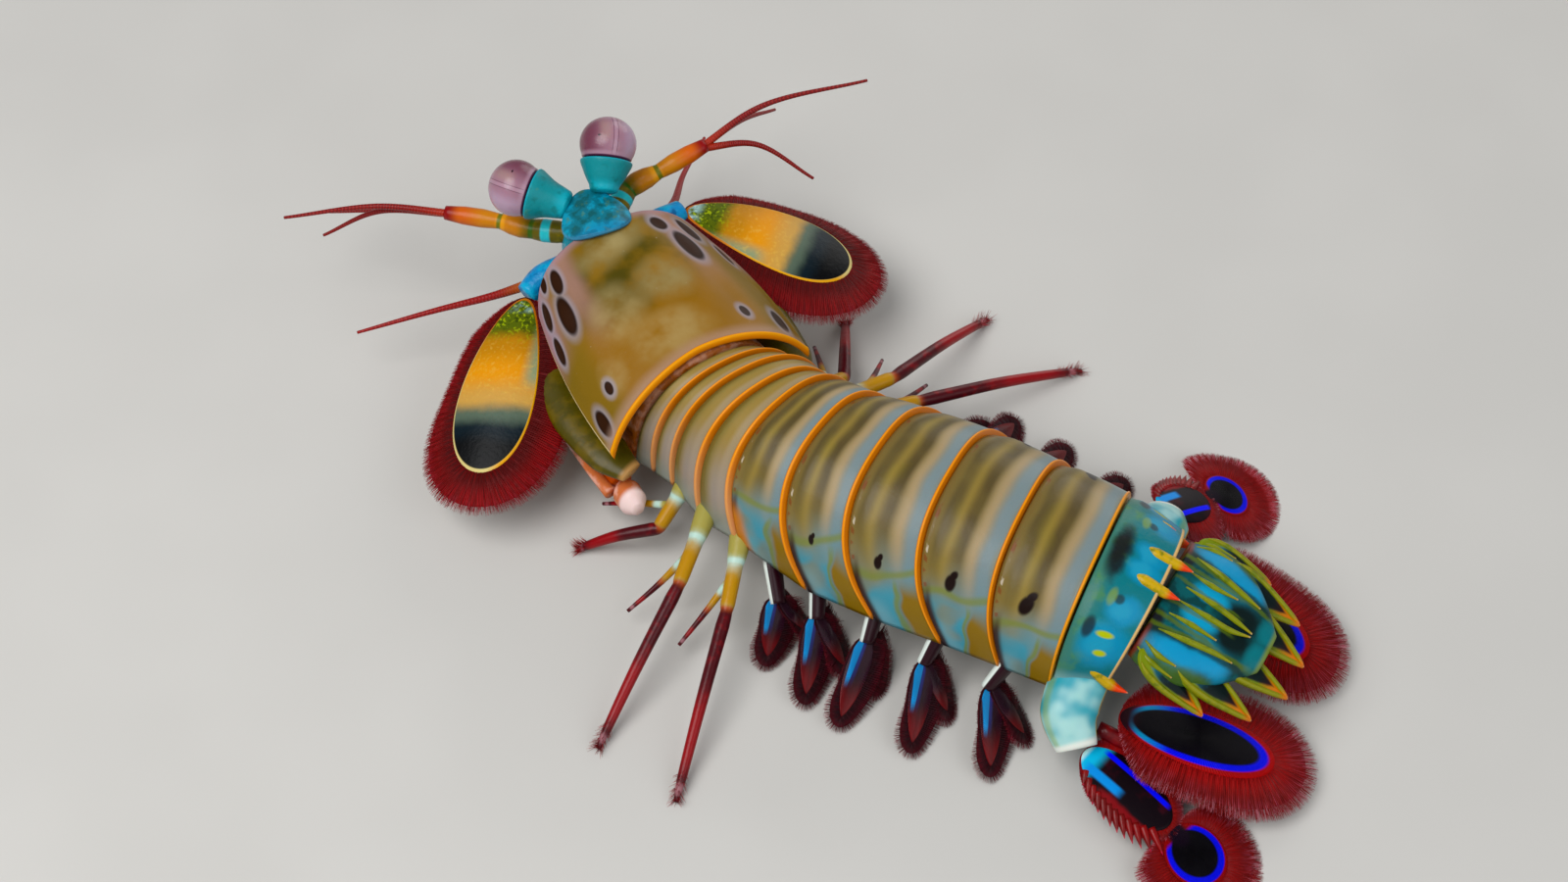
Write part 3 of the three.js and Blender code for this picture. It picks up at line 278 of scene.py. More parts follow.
class Paint:
    """A material built from values over a base colour."""

    def __init__(self, name, base, rough=0.35, coat=0.0, skin=0.0, shine=0.22):
        self.material = bpy.data.materials.new(name)
        self.material.use_nodes = True
        self.tree = self.material.node_tree
        self.shader = self.tree.nodes["Principled BSDF"]
        self.shader.inputs["Roughness"].default_value = rough
        self.shader.inputs["Coat Weight"].default_value = coat
        self.shader.inputs["Coat Roughness"].default_value = 0.22
        self.shader.inputs["Specular IOR Level"].default_value = shine
        self.shader.inputs["Subsurface Weight"].default_value = skin
        self.shader.inputs["Subsurface Scale"].default_value = 0.002
        self.shade = colour(base)
        self.places = {}

    def node(self, kind, **settings):
        made = self.tree.nodes.new(kind)
        for key, value in settings.items():
            setattr(made, key, value)
        return made

    def wire(self, value, socket):
        if isinstance(value, Value):
            self.tree.links.new(value.socket, socket)
        elif hasattr(value, "is_output"):
            self.tree.links.new(value, socket)
        else:
            socket.default_value = value

    def math(self, kind, *values):
        made = self.node("ShaderNodeMath", operation=kind)
        for value, socket in zip(values, made.inputs):
            self.wire(value, socket)
        return Value(self, made.outputs[0])

    def place(self, layer="Place"):
        if layer not in self.places:
            source = self.node("ShaderNodeUVMap", uv_map=layer)
            split = self.node("ShaderNodeSeparateXYZ")
            self.tree.links.new(source.outputs[0], split.inputs[0])
            pair = [Value(self, split.outputs[n]) for n in range(2)]
            self.places[layer] = (*pair, source.outputs[0])
        return self.places[layer][:2]

    def noise(self, scale, detail=2.0, layer=None, stretch=(1, 1, 1)):
        """Soft random values of about 0.5, by place in the part, in spots per metre, or on a layer."""
        spread = self.node("ShaderNodeMapping")
        spread.inputs["Scale"].default_value = stretch
        if layer:
            self.place(layer)
            self.tree.links.new(self.places[layer][2], spread.inputs[0])
        else:
            self.tree.links.new(self.node("ShaderNodeTexCoord").outputs["Object"], spread.inputs[0])
        made = self.node("ShaderNodeTexNoise")
        self.tree.links.new(spread.outputs[0], made.inputs["Vector"])
        made.inputs["Scale"].default_value, made.inputs["Detail"].default_value = scale, detail
        return Value(self, made.outputs[0])

    def stripes(self, count, layer="Polar"):
        """Fine lines that run out over a leaf, as many as count round it."""
        return (self.place(layer)[1] * (2 * math.pi * count)).wave()

    def over(self, code, mask):
        """Lays a colour over what is there, where mask is 1."""
        made = self.node("ShaderNodeMix", data_type="RGBA")
        self.wire(mask, made.inputs[0])
        self.wire(self.shade, made.inputs[6])
        made.inputs[7].default_value = colour(code)
        self.shade = made.outputs[2]
        return self

    def ramp(self, value, stops):
        """Runs through colours as value rises: stops are value and colour."""
        made = self.node("ShaderNodeValToRGB")
        self.wire(value, made.inputs[0])
        ramp = made.color_ramp
        ramp.interpolation = "EASE"
        while len(ramp.elements) < len(stops):
            ramp.elements.new(0.5)
        for element, (at, code) in zip(ramp.elements, stops):
            element.position = at
            element.color = colour(code)
        self.shade = made.outputs[0]
        return self

    def done(self, bump=None, depth=0.1, rough=None):
        self.wire(self.shade, self.shader.inputs["Base Color"])
        if bump is not None:
            made = self.node("ShaderNodeBump")
            made.inputs["Strength"].default_value = 1.0
            made.inputs["Distance"].default_value = depth * MM
            self.wire(bump, made.inputs["Height"])
            self.tree.links.new(made.outputs[0], self.shader.inputs["Normal"])
        if rough is not None:
            self.wire(rough, self.shader.inputs["Roughness"])
        return self.material


def oval(u, v, at, size, soft=0.2, turn=0.0):
    """1 inside an oval at a place on a layer, with a soft edge."""
    du, dv = u - at[0], v - at[1]
    if turn:
        c, s = math.cos(math.radians(turn)), math.sin(math.radians(turn))
        du, dv = du * c + dv * s, dv * c - du * s
    a, b = du / size[0], dv / size[1]
    return (a * a + b * b).rise((1 + soft) ** 2, (1 - soft) ** 2)


# Body stations: rear apex, heading, pitch, half width, arch and sweep of the flanks
STATION = {
    "front": ([-1.6, -38.2, 27.6], 71, 4, 8.2, 13, 0),
    "core": ([2.2, -25.5, 28.1], 73, 3, 13, 16.5, 0.2),
    "neck": ([5.1, -11.9, 27.6], 73.4, 1, 13.6, 17.2, 0.4),
    "thorax_5": ([4.1, -8.6, 28.0], 72, -2, 14.1, 17.8, 0.6),
    "thorax_6": ([3.4, -5.1, 28.6], 72, -3, 14.6, 18.6, 0.9),
    "thorax_7": ([4.3, -1.1, 28.9], 78, -4, 14.9, 19.4, 2.6),
    "thorax_8": ([4.5, 3.3, 29.3], 86, -5, 15.3, 18.0, 3.6),
    "abdomen_1": ([4.0, 11.1, 29.8], 94, -6, 16.3, 19.8, 6.6),
    "abdomen_2": ([1.8, 20.4, 30.0], 99, -5, 17.1, 19.6, 7.5),
    "abdomen_3": ([-1.4, 31.4, 29.8], 102, -2, 17.2, 19.4, 7.0),
    "abdomen_4": ([-4.1, 43.4, 29.0], 103.6, 2, 16.9, 18.2, 4.9),
    "abdomen_5": ([-7.0, 55.8, 27.9], 105, 7, 16.6, 17.2, 1.4),
    "abdomen_6": ([-9.7, 65.6, 25.0], 104, 14, 14.2, 14.6, 0.4),
    "head_back": ([-1.9, -38.9, 26.2], 71, 4, 7.6, 12, 0),
    "head_mid": ([-3.9, -42.6, 27.2], 66, 0, 6.6, 11, 0),
    "head": ([-5.6, -46.6, 27.6], 62, 0, 4.6, 8.5, 0),
}
# The underside as shares of the half width and of the arch.
UNDERSIDE = [(0.93, 0.99), (0.84, 0.86), (0.5, 0.9), (0.0, 0.93), (-0.5, 0.9), (-0.84, 0.86), (-0.93, 0.99)]
ARCH_POINTS = 121
FLANK_POWER, ARCH_POWER = 0.9, 0.85


def section(name, inset=0.0, shift=0.0):
    """A closed ring round the body at a station, and how far to the side each of its points lies."""
    at, heading, pitch, half, arch, sweep = STATION[name]
    side = np.linspace(1, -1, ARCH_POINTS)
    turn = side * np.pi / 2
    slope = np.maximum(np.cos(turn), 0)
    drawn = inset * slope**0.4
    across = (half - drawn) * np.sign(turn) * np.abs(np.sin(turn)) ** FLANK_POWER
    drop = arch * (1 - slope**ARCH_POWER) + drawn
    under = np.array(UNDERSIDE[::-1])
    across = np.concatenate([across, under[:, 0] * half])
    drop = np.concatenate([drop, under[:, 1] * arch])
    reach = np.concatenate([np.abs(side), np.abs(under[:, 0])])
    ring = local(at, axes(heading, pitch), sweep * reach**3 + shift, across, -drop)
    mark = np.concatenate([side, np.where(under[:, 0] < 0, -1, 1)])
    return ring, mark


def section_layers(mark, along):
    """Places for rings round the body: from side to side on u, and along on v."""
    mark = np.append(mark, mark[:1])
    return {"Place": np.stack(np.meshgrid((mark + 1) / 2, along), 2)}


def drum(start, end, profile):
    """A body segment between two stations: profile pairs are share along and inset."""
    rings = []
    for share, inset in profile:
        a, mark = section(start, inset, SEAM)
        b, _ = section(end, inset)
        rings.append(mix(a, b, share))
    return Shape().grid(np.array(rings), section_layers(mark, [p[0] for p in profile]))


def profile_of(rim, front, bulge):
    """Share and inset along a segment: tucked in at the front, slightly swollen, with a raised rear rim."""
    body = np.linspace(0.35, 1 - rim - 0.02, 14)
    shares = np.concatenate([np.linspace(0, 0.3, 9), body, np.linspace(1 - rim, 1, 8)])
    tuck = front * (1 - ease(shares, 0, 0.22))
    swell = -bulge * np.sin(np.pi * np.clip(shares, 0, 1))
    on_rim = np.clip((shares - 1 + rim) / rim, 0, 1)
    lip = np.where(shares >= 1 - rim, -LIP * np.sin(on_rim * np.pi) ** 0.6, 0)
    return list(zip(shares, tuck + swell + lip))


# Carapace
CARAPACE = dict(at=[5.7, -12.3, 29.2], heading=73.4, pitch=4, length=29.4, rear=18.3, front=15.3, bulge=1.3,
                drop_rear=9.9, drop_front=7.2, lobes=4.2, shoulders=6.3, spread=72)
SHELL = 1.1


def carapace_point(length, side, depth):
    """A place on the shield: length runs from its rear rim to its front, and side from -1 to 1."""
    c = CARAPACE
    widest = math.radians(c["spread"])
    turn = side * widest
    half = mix(c["rear"], c["front"], length) + c["bulge"] * 4 * length * (1 - length)
    drop = mix(c["drop_rear"], c["drop_front"], length)
    forward = mix(-c["lobes"] * np.abs(side) ** 1.5, c["length"] - c["shoulders"] * np.abs(side) ** 3, length)
    down = drop * (1 - np.cos(turn)) / (1 - math.cos(widest)) + 0.8 * length**2
    reach = half * np.sin(turn) / math.sin(widest) * (1 - depth * 0.02)
    return local(c["at"], axes(c["heading"], c["pitch"]), -forward, reach, -down - depth)


# Brown spots of the shield, and its pale blotches: side, length, half width and half length.
LEOPARD = [
    (0.70, 0.965, 0.042, 0.05), (0.56, 0.88, 0.055, 0.075), (0.82, 0.84, 0.055, 0.085),
    (0.62, 0.69, 0.07, 0.12), (0.86, 0.64, 0.05, 0.085), (0.64, 0.20, 0.034, 0.038),
    (0.86, 0.13, 0.06, 0.08), (-0.41, 0.88, 0.06, 0.05), (-0.63, 0.83, 0.055, 0.09),
    (-0.48, 0.69, 0.07, 0.115), (-0.79, 0.67, 0.04, 0.08), (-0.48, 0.18, 0.034, 0.038),
    (-0.77, 0.14, 0.06, 0.075),
]
CREAM = [
    (-0.04, 0.90, 0.14, 0.08), (0.13, 0.86, 0.13, 0.08), (-0.13, 0.50, 0.12, 0.08),
    (0.30, 0.47, 0.12, 0.10), (0.07, 0.19, 0.15, 0.08), (0.55, 0.24, 0.08, 0.07),
]


def carapace_paint():
    """Clouded olive brown, with pale blotches and ringed brown spots, and a painted highlight along the crest
    of the raised rear rim.
    """
    p = Paint("carapace", "#886a30", rough=0.34, coat=0.04, skin=0.0, shine=0.1)
    u, v = p.place()
    s = u * 2 - 1
    flank = abs(s)
    cloud = p.noise(170, 3)
    fine = p.noise(900, 3)
    broad = p.noise(70, 2)
    p.over("#7a6224", cloud.rise(0.4, 0.65) * 0.7)
    p.over("#94682c", oval(s, v, (0, 0.2), (0.75, 0.32), 0.8) * 0.6)
    front = oval(s, v, (0.02, 0.72), (0.42, 0.26), 0.7)
    p.over("#464218", front * (cloud * 0.5 + broad * 0.5).rise(0.34, 0.56) * 0.9)
    p.over("#76642c", flank.rise(0.5, 0.72) * v.rise(0.75, 0.45) * 0.6)
    wander = (broad - 0.5) * 0.2
    p.over("#a8847a", (flank + wander).near(0.47, 0.02, 0.16) * v.rise(0.3, 0.8) * 0.7)
    p.over("#a88a94", v.rise(0.93, 1.0) * 0.75)
    p.over("#a08090", (flank + wander).rise(0.62, 0.9) * v.rise(0.45, 0.75) * 0.7)
    for side, length, wide, long in CREAM:
        blotch = oval(s + wander * 0.6, v + wander * 0.5, (side, length), (wide * 1.15, long * 1.15), 1.0)
        p.over("#b8a67a", blotch * cloud.rise(0.25, 0.65) * 0.5)
    halo = None
    for side, length, wide, long in LEOPARD:
        ring = oval(s, v, (side, length), (wide + 0.022, long + 0.02), 0.4)
        halo = ring if halo is None else halo.most(ring)
    p.over("#a09ca8", halo * 0.65)
    for side, length, wide, long in LEOPARD:
        p.over("#180a00", oval(s, v, (side, length), (wide, long), 0.16))
        p.over("#3c1f02", oval(s, v, (side, length), (wide * 0.75, long * 0.75), 0.6) * 0.6)
    p.over("#b09484", v.rise(0.11, 0.03) * 0.6)
    p.over("#e0cda0", flank.rise(0.982, 0.988))
    p.over("#d88a0c", v.rise(0.030, 0.025))
    # Painted highlight: a light orange line along the crest of the raised rear rim.
    p.over("#f0b040", v.near(0.014, 0.004, 0.008) * 0.6)
    p.over("#e8e0d0", fine.rise(0.72, 0.8) * 0.2)
    return p.done(bump=fine * 0.4 + cloud, depth=0.1, rough=cloud.rise(0.2, 0.8) * 0.12 + 0.3)


def make_carapace():
    """The shield: a curved plate with round edges, a raised rear rim and two shallow grooves."""
    long, half = 29, 19
    corner, rim_height, edge_height, groove_depth = 0.45, 0.28, 0.25, 0.16
    v = np.concatenate([np.linspace(0, 0.035, 9), np.linspace(0.04, 0.97, 93), np.linspace(0.975, 1, 8)])
    side = np.linspace(-1, 1, 161)
    length, across = np.meshgrid(v, side, indexing="ij")
    edge = np.minimum(np.minimum(length * long, (1 - length) * long), (1 - np.abs(across)) * half)
    round_off = corner * (1 - ease(edge, 0, 0.5)) ** 2
    rim = -rim_height * np.sin(np.clip(length / 0.03, 0, 1) * np.pi) ** 0.7
    line = np.abs(across) - (0.36 + 0.16 * (1 - length))
    fade = ease(length, 0.05, 0.3) * (1 - ease(length, 0.9, 1))
    groove = groove_depth * np.exp(-((line / 0.07) ** 2)) * fade
    lift = -edge_height * np.exp(-(((np.abs(across) - 1) / 0.05) ** 2))
    top = carapace_point(length, across, round_off + rim + groove + lift)
    low = carapace_point(length, across, SHELL - round_off * 0.6)
    points = np.concatenate([top, low[:, ::-1]], 1)
    u = (np.concatenate([side, side[::-1], side[:1]]) + 1) / 2
    shape = Shape().grid(points, {"Place": np.stack(np.meshgrid(u, v), 2)}, caps="zip")
    keep(shape, "shield", carapace_paint(), "carapace", "carapace")


make_carapace()


# Tergites
def tergite_paint(name, rim, tear=None, thorax=False, last=False, first=False):
    """Soft cross bands, bluer down the flanks, a dark drop on some segments, and the orange rear rim. Also
    painted shadow low on the flanks behind the rim in front, and a painted highlight along the rim's crest.
    """
    p = Paint(name, "#8a7a4a", rough=0.34, coat=0.06, skin=0.04, shine=0.17)
    u, v = p.place()
    s = u * 2 - 1
    flank = abs(s)
    cloud = p.noise(130, 0.5)
    spots = p.noise(230, 0.5)
    fine = p.noise(1100, 3)
    wavy = v + (cloud - 0.5) * 0.13
    faint = (spots * 0.8 + 0.45).least(1.0)
    if thorax:
        p.over("#9c8450", wavy.near(0.5, 0.05, 0.35) * 0.7)
        p.over("#9a9494", flank.rise(0.35, 0.8) * wavy.rise(0.1, 0.5) * 0.7)
        p.over("#6a6236", wavy.rise(0.4, 0.0) * 0.8)
        p.over("#b0a090", wavy.near(0.75, 0.05, 0.2) * 0.4)
        p.over("#8aa09a", flank.rise(0.8, 1.0) * 0.5)
    else:
        top = flank.rise(0.85, 0.25)
        p.over("#94804a", wavy.near(0.36, 0.0, 0.18) * 0.8)
        p.over("#463c2c", wavy.near(0.19, 0.02, 0.15) * top * faint * 0.8)
        p.over("#413628", wavy.near(0.49, 0.02, 0.17) * top * faint * 0.9)
        p.over("#94853c", spots.rise(0.48, 0.7) * wavy.near(0.35, 0.05, 0.2) * top * 0.22)
        p.over("#aa977a", wavy.near(0.69, 0.0, 0.17) * 0.8)
        p.over("#7d8f96", wavy.near(0.87, 0.03, 0.16) * 0.85)
        low = flank + (cloud - 0.5) * 0.18
        p.over("#738e94", low.rise(0.42, 0.68) * wavy.rise(0.25, 0.6) * 0.7)
        p.over("#6c8f94", low.rise(0.55, 0.8) * 0.6)
        p.over("#4a98ac", low.rise(0.66, 0.84) * spots.rise(0.34, 0.56) * 0.85)
        p.over("#7c8440", (low + v * 0.12).near(0.72, 0.004, 0.035) * 0.7)
        p.over("#8fb4bc", low.rise(0.8, 0.95) * wavy.rise(0.5, 0.2) * 0.5)
        corner = v + flank * 0.7 + (spots - 0.5) * 0.3
        p.over("#7c8440", corner.near(1.20, 0.01, 0.05) * low.rise(0.64, 0.76) * 0.8)
        p.over("#8a6e08", low.rise(0.64, 0.8) * corner.rise(1.2, 1.3))
        # Painted shadow: a dark brown wedge low on the flanks at the segment's front, just behind the rim of
        # the segment in front.
        p.over("#34180f", (flank + v * 0.6).rise(0.66, 0.8) * v.rise(0.17, 0.05) * 0.95)
        p.over("#6c5a38", wavy.rise(0.14, 0.03) * top * 0.7)
        dash = p.noise(30, 1, "Place", (1, 0.2, 1))
        p.over("#7a3418", v.near(0.05, 0.015, 0.02) * dash.rise(0.52, 0.6) * flank.near(0.45, 0.2, 0.1) * 0.6)
        fleck = v.near(0.05, 0.01, 0.015) * dash.rise(0.36, 0.32)
        p.over("#e8dfd0", fleck * flank.near(0.5, 0.12, 0.08) * 0.5)
    if first:
        p.over("#c8821e", flank.rise(0.7, 0.85) * v.rise(0.3, 0.12) * 0.9)
    if tear:
        side, size = tear
        drop = oval(flank, v, (side, 0.43), (0.05 * size, 0.085 * size), 0.25, turn=20)
        point = oval(flank, v, (side - 0.05 * size, 0.47), (0.028 * size, 0.06 * size), 0.3, turn=20)
        p.over("#1a0a06", drop.most(point))
    orange = v.rise(1 - rim, 1 - rim + 0.008)
    p.over("#d4820c" if not last else "#d89414", orange)
    # Painted highlight: a light orange line along the crest of the raised rear rim.
    p.over("#f0a43a", v.near(1 - rim * 0.45, rim * 0.12, rim * 0.25) * 0.7)
    if thorax:
        p.over("#d8a880", orange * flank.rise(0.4, 0.9) * 0.6)
    return p.done(bump=fine * 0.4 + spots, depth=0.1, rough=spots.rise(0.2, 0.8) * 0.12 + 0.3)


# The dark drop on a segment's flank: its side, and its size.
TEARS = {"abdomen_2": (0.67, 0.55), "abdomen_3": (0.64, 0.7),
         "abdomen_4": (0.59, 0.95), "abdomen_5": (0.53, 1.15)}
RIM = 0.55
order = ["neck"] + [f"thorax_{n}" for n in range(5, 9)] + [f"abdomen_{n}" for n in range(1, 6)]
for start, end in zip(order, order[1:]):
    thorax = end.startswith("thorax")
    rim = RIM / np.linalg.norm(np.subtract(STATION[end][0], STATION[start][0]))
    shape = drum(start, end, profile_of(rim, 0.5, 0.05 if thorax else 0.14))
    paint = tergite_paint(end, rim, TEARS.get(end), thorax, end == "abdomen_5", end == "abdomen_1")
    keep(shape, end + "_plate", paint, "tergite", end)


# The body under the shield, and the head
def skin_paint(name, base, spot, deep):
    p = Paint(name, base, rough=0.34, coat=0.06, skin=0.05)
    cloud = p.noise(420, 3)
    fine = p.noise(1400, 2)
    p.over(spot, cloud.rise(0.45, 0.62) * 0.8)
    p.over(deep, cloud.rise(0.42, 0.3) * 0.8)
    return p.done(bump=fine + cloud * 2, depth=0.14)


FLESH = skin_paint("flesh", "#9a5a2c", "#b98a72", "#5a2c1a")
TEAL = skin_paint("teal", "#0f8494", "#15a0b4", "#0a4f66")
BLUE = skin_paint("blue", "#1590c4", "#3fb4d8", "#0c4f80")


def lofted(*names):
    """One smooth body through the sections at the named stations."""
    steps = 12
    rings = np.array([section(n)[0] for n in names])
    mark = section(names[0])[1]
    dense = []
    for i in range(len(rings) - 1):
        for t in np.linspace(0, 1, steps, endpoint=i == len(rings) - 2):
            dense.append(mix(rings[i], rings[i + 1], t))
    return Shape().grid(np.array(dense), section_layers(mark, np.linspace(0, 1, len(dense))))


keep(lofted("front", "core", "neck"), "core_body", FLESH, "joint", "cephalothorax")
keep(lofted("head_back", "head_mid", "head"), "head_block", TEAL, "joint", "head")


# Leaves: thin plates with an egg outline
class Leaf:
    """A thin plate from root to tip. Egg makes its tip end wider, point draws its tip out, roll turns it
    about its length, sag drops its sides and bow lifts its middle."""

    def __init__(self, root, tip, wide, egg, roll=0.0, sag=0.0, bow=0.0, thick=1.1, edge=0.5,
                 floor=None, point=0.0):
        self.root = np.array(root, float)
        along = np.array(tip, float) - self.root
        self.long = float(np.linalg.norm(along))
        self.along = along / self.long
        across = unit(np.cross(UP, self.along))
        r = math.radians(roll)
        self.across = across * math.cos(r) + np.cross(self.along, across) * math.sin(r)
        self.normal = np.cross(self.along, self.across)
        self.wide, self.egg, self.sag, self.bow = wide, egg, sag, bow
        self.thick, self.edge, self.floor, self.point = thick, edge, floor, point

    def rim(self, turn):
        x = self.long / 2 * (1 + np.cos(turn))
        taper = np.abs(np.sin(turn / 2)) ** self.point * (1 + 0.3 * self.point)
        y = self.wide / 2 * np.sin(turn) * (1 + self.egg * np.cos(turn)) * taper
        out = unit(np.stack([np.cos(turn) * self.wide / 2, np.sin(turn) * self.long / 2], -1))
        return np.stack([x, y], -1), out

    def place(self, xy, high=0.0):
        x, y = xy[..., 0], xy[..., 1]
        level = -self.sag * (y / self.wide) ** 2 + self.bow * (x / self.long) * (1 - x / self.long) * 4 + high
        flat = self.root + x[..., None] * self.along + y[..., None] * self.across
        p = flat + level[..., None] * self.normal
        if self.floor is not None:
            p[..., 2] = np.maximum(p[..., 2], self.floor)
        return p

    def plate(self, shape, turns=168, rows=26):
        """The plate itself, from its middle over the rim and back beneath."""
        turn = np.linspace(0, 2 * np.pi, turns, endpoint=False)
        rim, _ = self.rim(turn)
        middle = np.array([0.5 * self.long, 0.0])
        share = np.concatenate([np.linspace(0.05, 0.9, rows - 6), [0.93, 0.96, 0.98, 0.993, 1.0]])
        half = 0.5 * mix(self.thick, self.edge, share**2) * (1 - 0.9 * ease(share, 0.97, 1.0))
        tops, lows, layers = [], [], []
        closed = np.append(turn, 2 * np.pi)
        for s, h in zip(share, half):
            xy = middle + s * (rim - middle)
            tops.append(self.place(xy, h))
            lows.append(self.place(xy, -h))
            around = np.vstack([xy, xy[:1]])
            layers.append((np.stack([around[:, 0] / self.long, around[:, 1] / self.wide + 0.5], -1),
                           np.stack([np.full(turns + 1, s), closed / (2 * np.pi)], -1)))
        flat, polar = (np.array(layer + layer[::-1]) for layer in map(list, zip(*layers)))
        return shape.grid(np.array(tops + lows[::-1]), {"Place": flat, "Polar": polar})

    def web(self, shape, fringe, share=0.8, turns=300):
        """A thin skin of setae that lie side by side, from under the rim outwards."""
        turn = np.linspace(0, 2 * np.pi, turns, endpoint=False)
        rim, out = self.rim(turn)
        reach = fringe(turn)
        tops, lows, layers = [], [], []
        closed = np.append(turn, 2 * np.pi) / (2 * np.pi)
        for k in np.linspace(-0.1, 1, 12):
            ripple = 0.04 * np.sin(turn * 90) * (k > 0)
            xy = rim + out * (reach * share * k - 0.3 * (k < 0))[:, None]
            thin = 0.14 * (1 - 0.6 * max(k, 0))
            tops.append(self.place(xy, thin + ripple))
            lows.append(self.place(xy, -thin + ripple))
            layers.append(np.stack([np.full(turns + 1, max(k, 0) * share), closed], -1))
        rows = layers + layers[::-1] + layers[:1]
        return shape.grid(np.array(tops + lows[::-1]), {"Place": np.array(rows)}, caps="loop")

    def setae(self, coat, fringe, count, radius=0.05, spread=0.05):
        """Tapered setae that grow out from the rim."""
        turn = (np.arange(count) + draw.uniform(-0.45, 0.45, count)) * 2 * np.pi / count
        reach = fringe(turn) * draw.uniform(0.86, 1.04, count)
        keep_these = reach > 0.5
        turn, reach = turn[keep_these], reach[keep_these]
        rim, out = self.rim(turn)
        lean = draw.normal(0, spread, len(turn))
        side = np.stack([-out[:, 1], out[:, 0]], -1)
        steps = np.array([-0.06, 0.3, 0.65, 0.88, 1.0])
        level = draw.uniform(-0.12, 0.16, len(turn))
        rise = draw.normal(0, 0.14, len(turn))
        path = []
        for k in steps:
            xy = rim + out * (reach * k)[:, None] + side * (reach * k * k * lean)[:, None]
            path.append(self.place(xy, level * (1 - max(k, 0)) + rise * k * k))
        bake = np.stack([rim[:, 0] / self.long * 0.7 + 0.15, rim[:, 1] / self.wide * 0.7 + 0.5], -1)
        coat.strands(np.stack(path, 1), radius, bake, draw.uniform(0, 1, len(turn)))


class Coat(Shape):
    """Many tapered setae in one piece."""

    def strands(self, paths, radius, bake, shade):
        n, k = paths.shape[:2]
        along = unit(np.gradient(paths, axis=1))
        hint = np.where(np.abs(along[..., 2:3]) > 0.9, np.array([1.0, 0, 0]), UP)
        across = unit(np.cross(hint, along))
        depth = np.cross(along, across)
        taper = radius * np.linspace(1, 0.25, k)[None, :, None, None]
        turn = np.arange(3) * 2 * np.pi / 3
        ring = np.cos(turn)[:, None] * across[:, :, None] + np.sin(turn)[:, None] * depth[:, :, None]
        points = (paths[:, :, None] + taper * ring).reshape(-1, 3)
        base = (np.arange(n) * k * 3)[:, None, None]
        row, col = np.meshgrid(np.arange(k - 1), np.arange(3), indexing="ij")
        beside_it = (col + 1) % 3
        corners = (row * 3 + col, row * 3 + beside_it, (row + 1) * 3 + beside_it, (row + 1) * 3 + col)
        quad = np.stack(corners, -1)
        quads = (base + quad.reshape(1, -1, 4)).reshape(-1, 4)
        ends = np.array([[1, 0, 2], [(k - 1) * 3, (k - 1) * 3 + 1, (k - 1) * 3 + 2]])
        tris = (base + ends[None]).reshape(-1, 3)
        point_row = np.arange(k * 3) // 3 / (k - 1)
        point_col = np.arange(k * 3) % 3 / 3
        both = np.broadcast_arrays(shade[:, None], point_row[None])
        along_uv = np.stack(both, -1).reshape(-1, 2)
        patch = np.stack([point_col, point_row], -1)[None] * 0.003
        bake_uv = (bake[:, None] + patch).reshape(-1, 2)
        groups = [(ids, {"Place": along_uv[ids], "OFBake": bake_uv[ids]}) for ids in (quads, tris)]
        self.put(points, groups, ["Place", "OFBake"])


def fringe_of(tip, side, bare, inner=None, sign=1):
    """Length of the setae round a leaf: at its tip, its sides and its inner side, and none at the root."""

    def fringe(turn):
        back = (1 - np.cos(turn)) / 2
        flank = side if inner is None else mix(side, inner, ease(np.sin(turn) * sign, -0.5, 0.5))
        return mix(tip, flank, ease(back, 0, 0.5)) * np.clip((1 - back) / bare, 0, 1)

    return fringe


def setae_paint(name, root, tip, pale):
    p = Paint(name, root, rough=0.5)
    hue, along = p.place()
    p.over(tip, along.rise(0.3, 0.95))
    p.over(pale, hue.rise(0.7, 0.85) * along.rise(0.45, 0.8) * 0.7)
    p.over(root, hue.rise(0.4, 0.1) * 0.6)
    return p.done()


def web_paint(name, inner, outer, streak, count=260):
    p = Paint(name, inner, rough=0.55, skin=0.05)
    out, _ = p.place()
    lines = p.stripes(count, "Place")
    p.over(outer, out.rise(0.15, 0.6))
    cloud = p.noise(260, 2)
    p.over(streak, lines.rise(0.3, 1.0) * (cloud * 0.6 + out * 0.7).rise(0.45, 0.85) * 0.7)
    return p.done(bump=lines, depth=0.12)


RED_SETAE = setae_paint("setae_red", "#6c060c", "#940a14", "#c85060")
RED_WEB = web_paint("web_red", "#5c060c", "#860a12", "#b02430")
FAN_SETAE = setae_paint("setae_fan", "#80060f", "#98101c", "#f0a8b8")
FAN_WEB = web_paint("web_fan", "#b00808", "#7c0a16", "#d06478")
DARK_WEB = web_paint("web_dark", "#2c0812", "#4c0c18", "#7c1c30", 120)


def add_fringe(leaf, fringe, part, side, node, paints, share, rounds, count):
    """The web and the setae round a leaf. The setae grow in a few rounds."""
    web, setae = paints
    slot = "scale" if part == "scale" else "fan"
    keep(leaf.web(Shape(), fringe, share), f"{part}_web_{side}", web, slot, node)
    coat = Coat()
    for _ in range(rounds):
        leaf.setae(coat, fringe, count)
    keep(coat, f"{part}_setae_{side}", setae, slot, node)


# Rostral plate
def rostral_paint():
    p = Paint("rostral", "#0a7484", rough=0.5, coat=0.1)
    u, _ = p.place()
    r, _ = p.place("Polar")
    cloud = p.noise(500, 3)
    p.over("#1a9cb8", cloud.rise(0.48, 0.6) * 0.8)
    p.over("#0a5c60", cloud.rise(0.45, 0.34) * 0.9)
    p.over("#5c7c50", p.noise(700, 3).rise(0.6, 0.7) * 0.5)
    p.over("#2f7cb0", u.rise(0.3, 0.05) * 0.4)
    p.over("#5c90b0", r.rise(0.96, 0.99) * 0.4)
    return p.done(bump=cloud, depth=0.25)


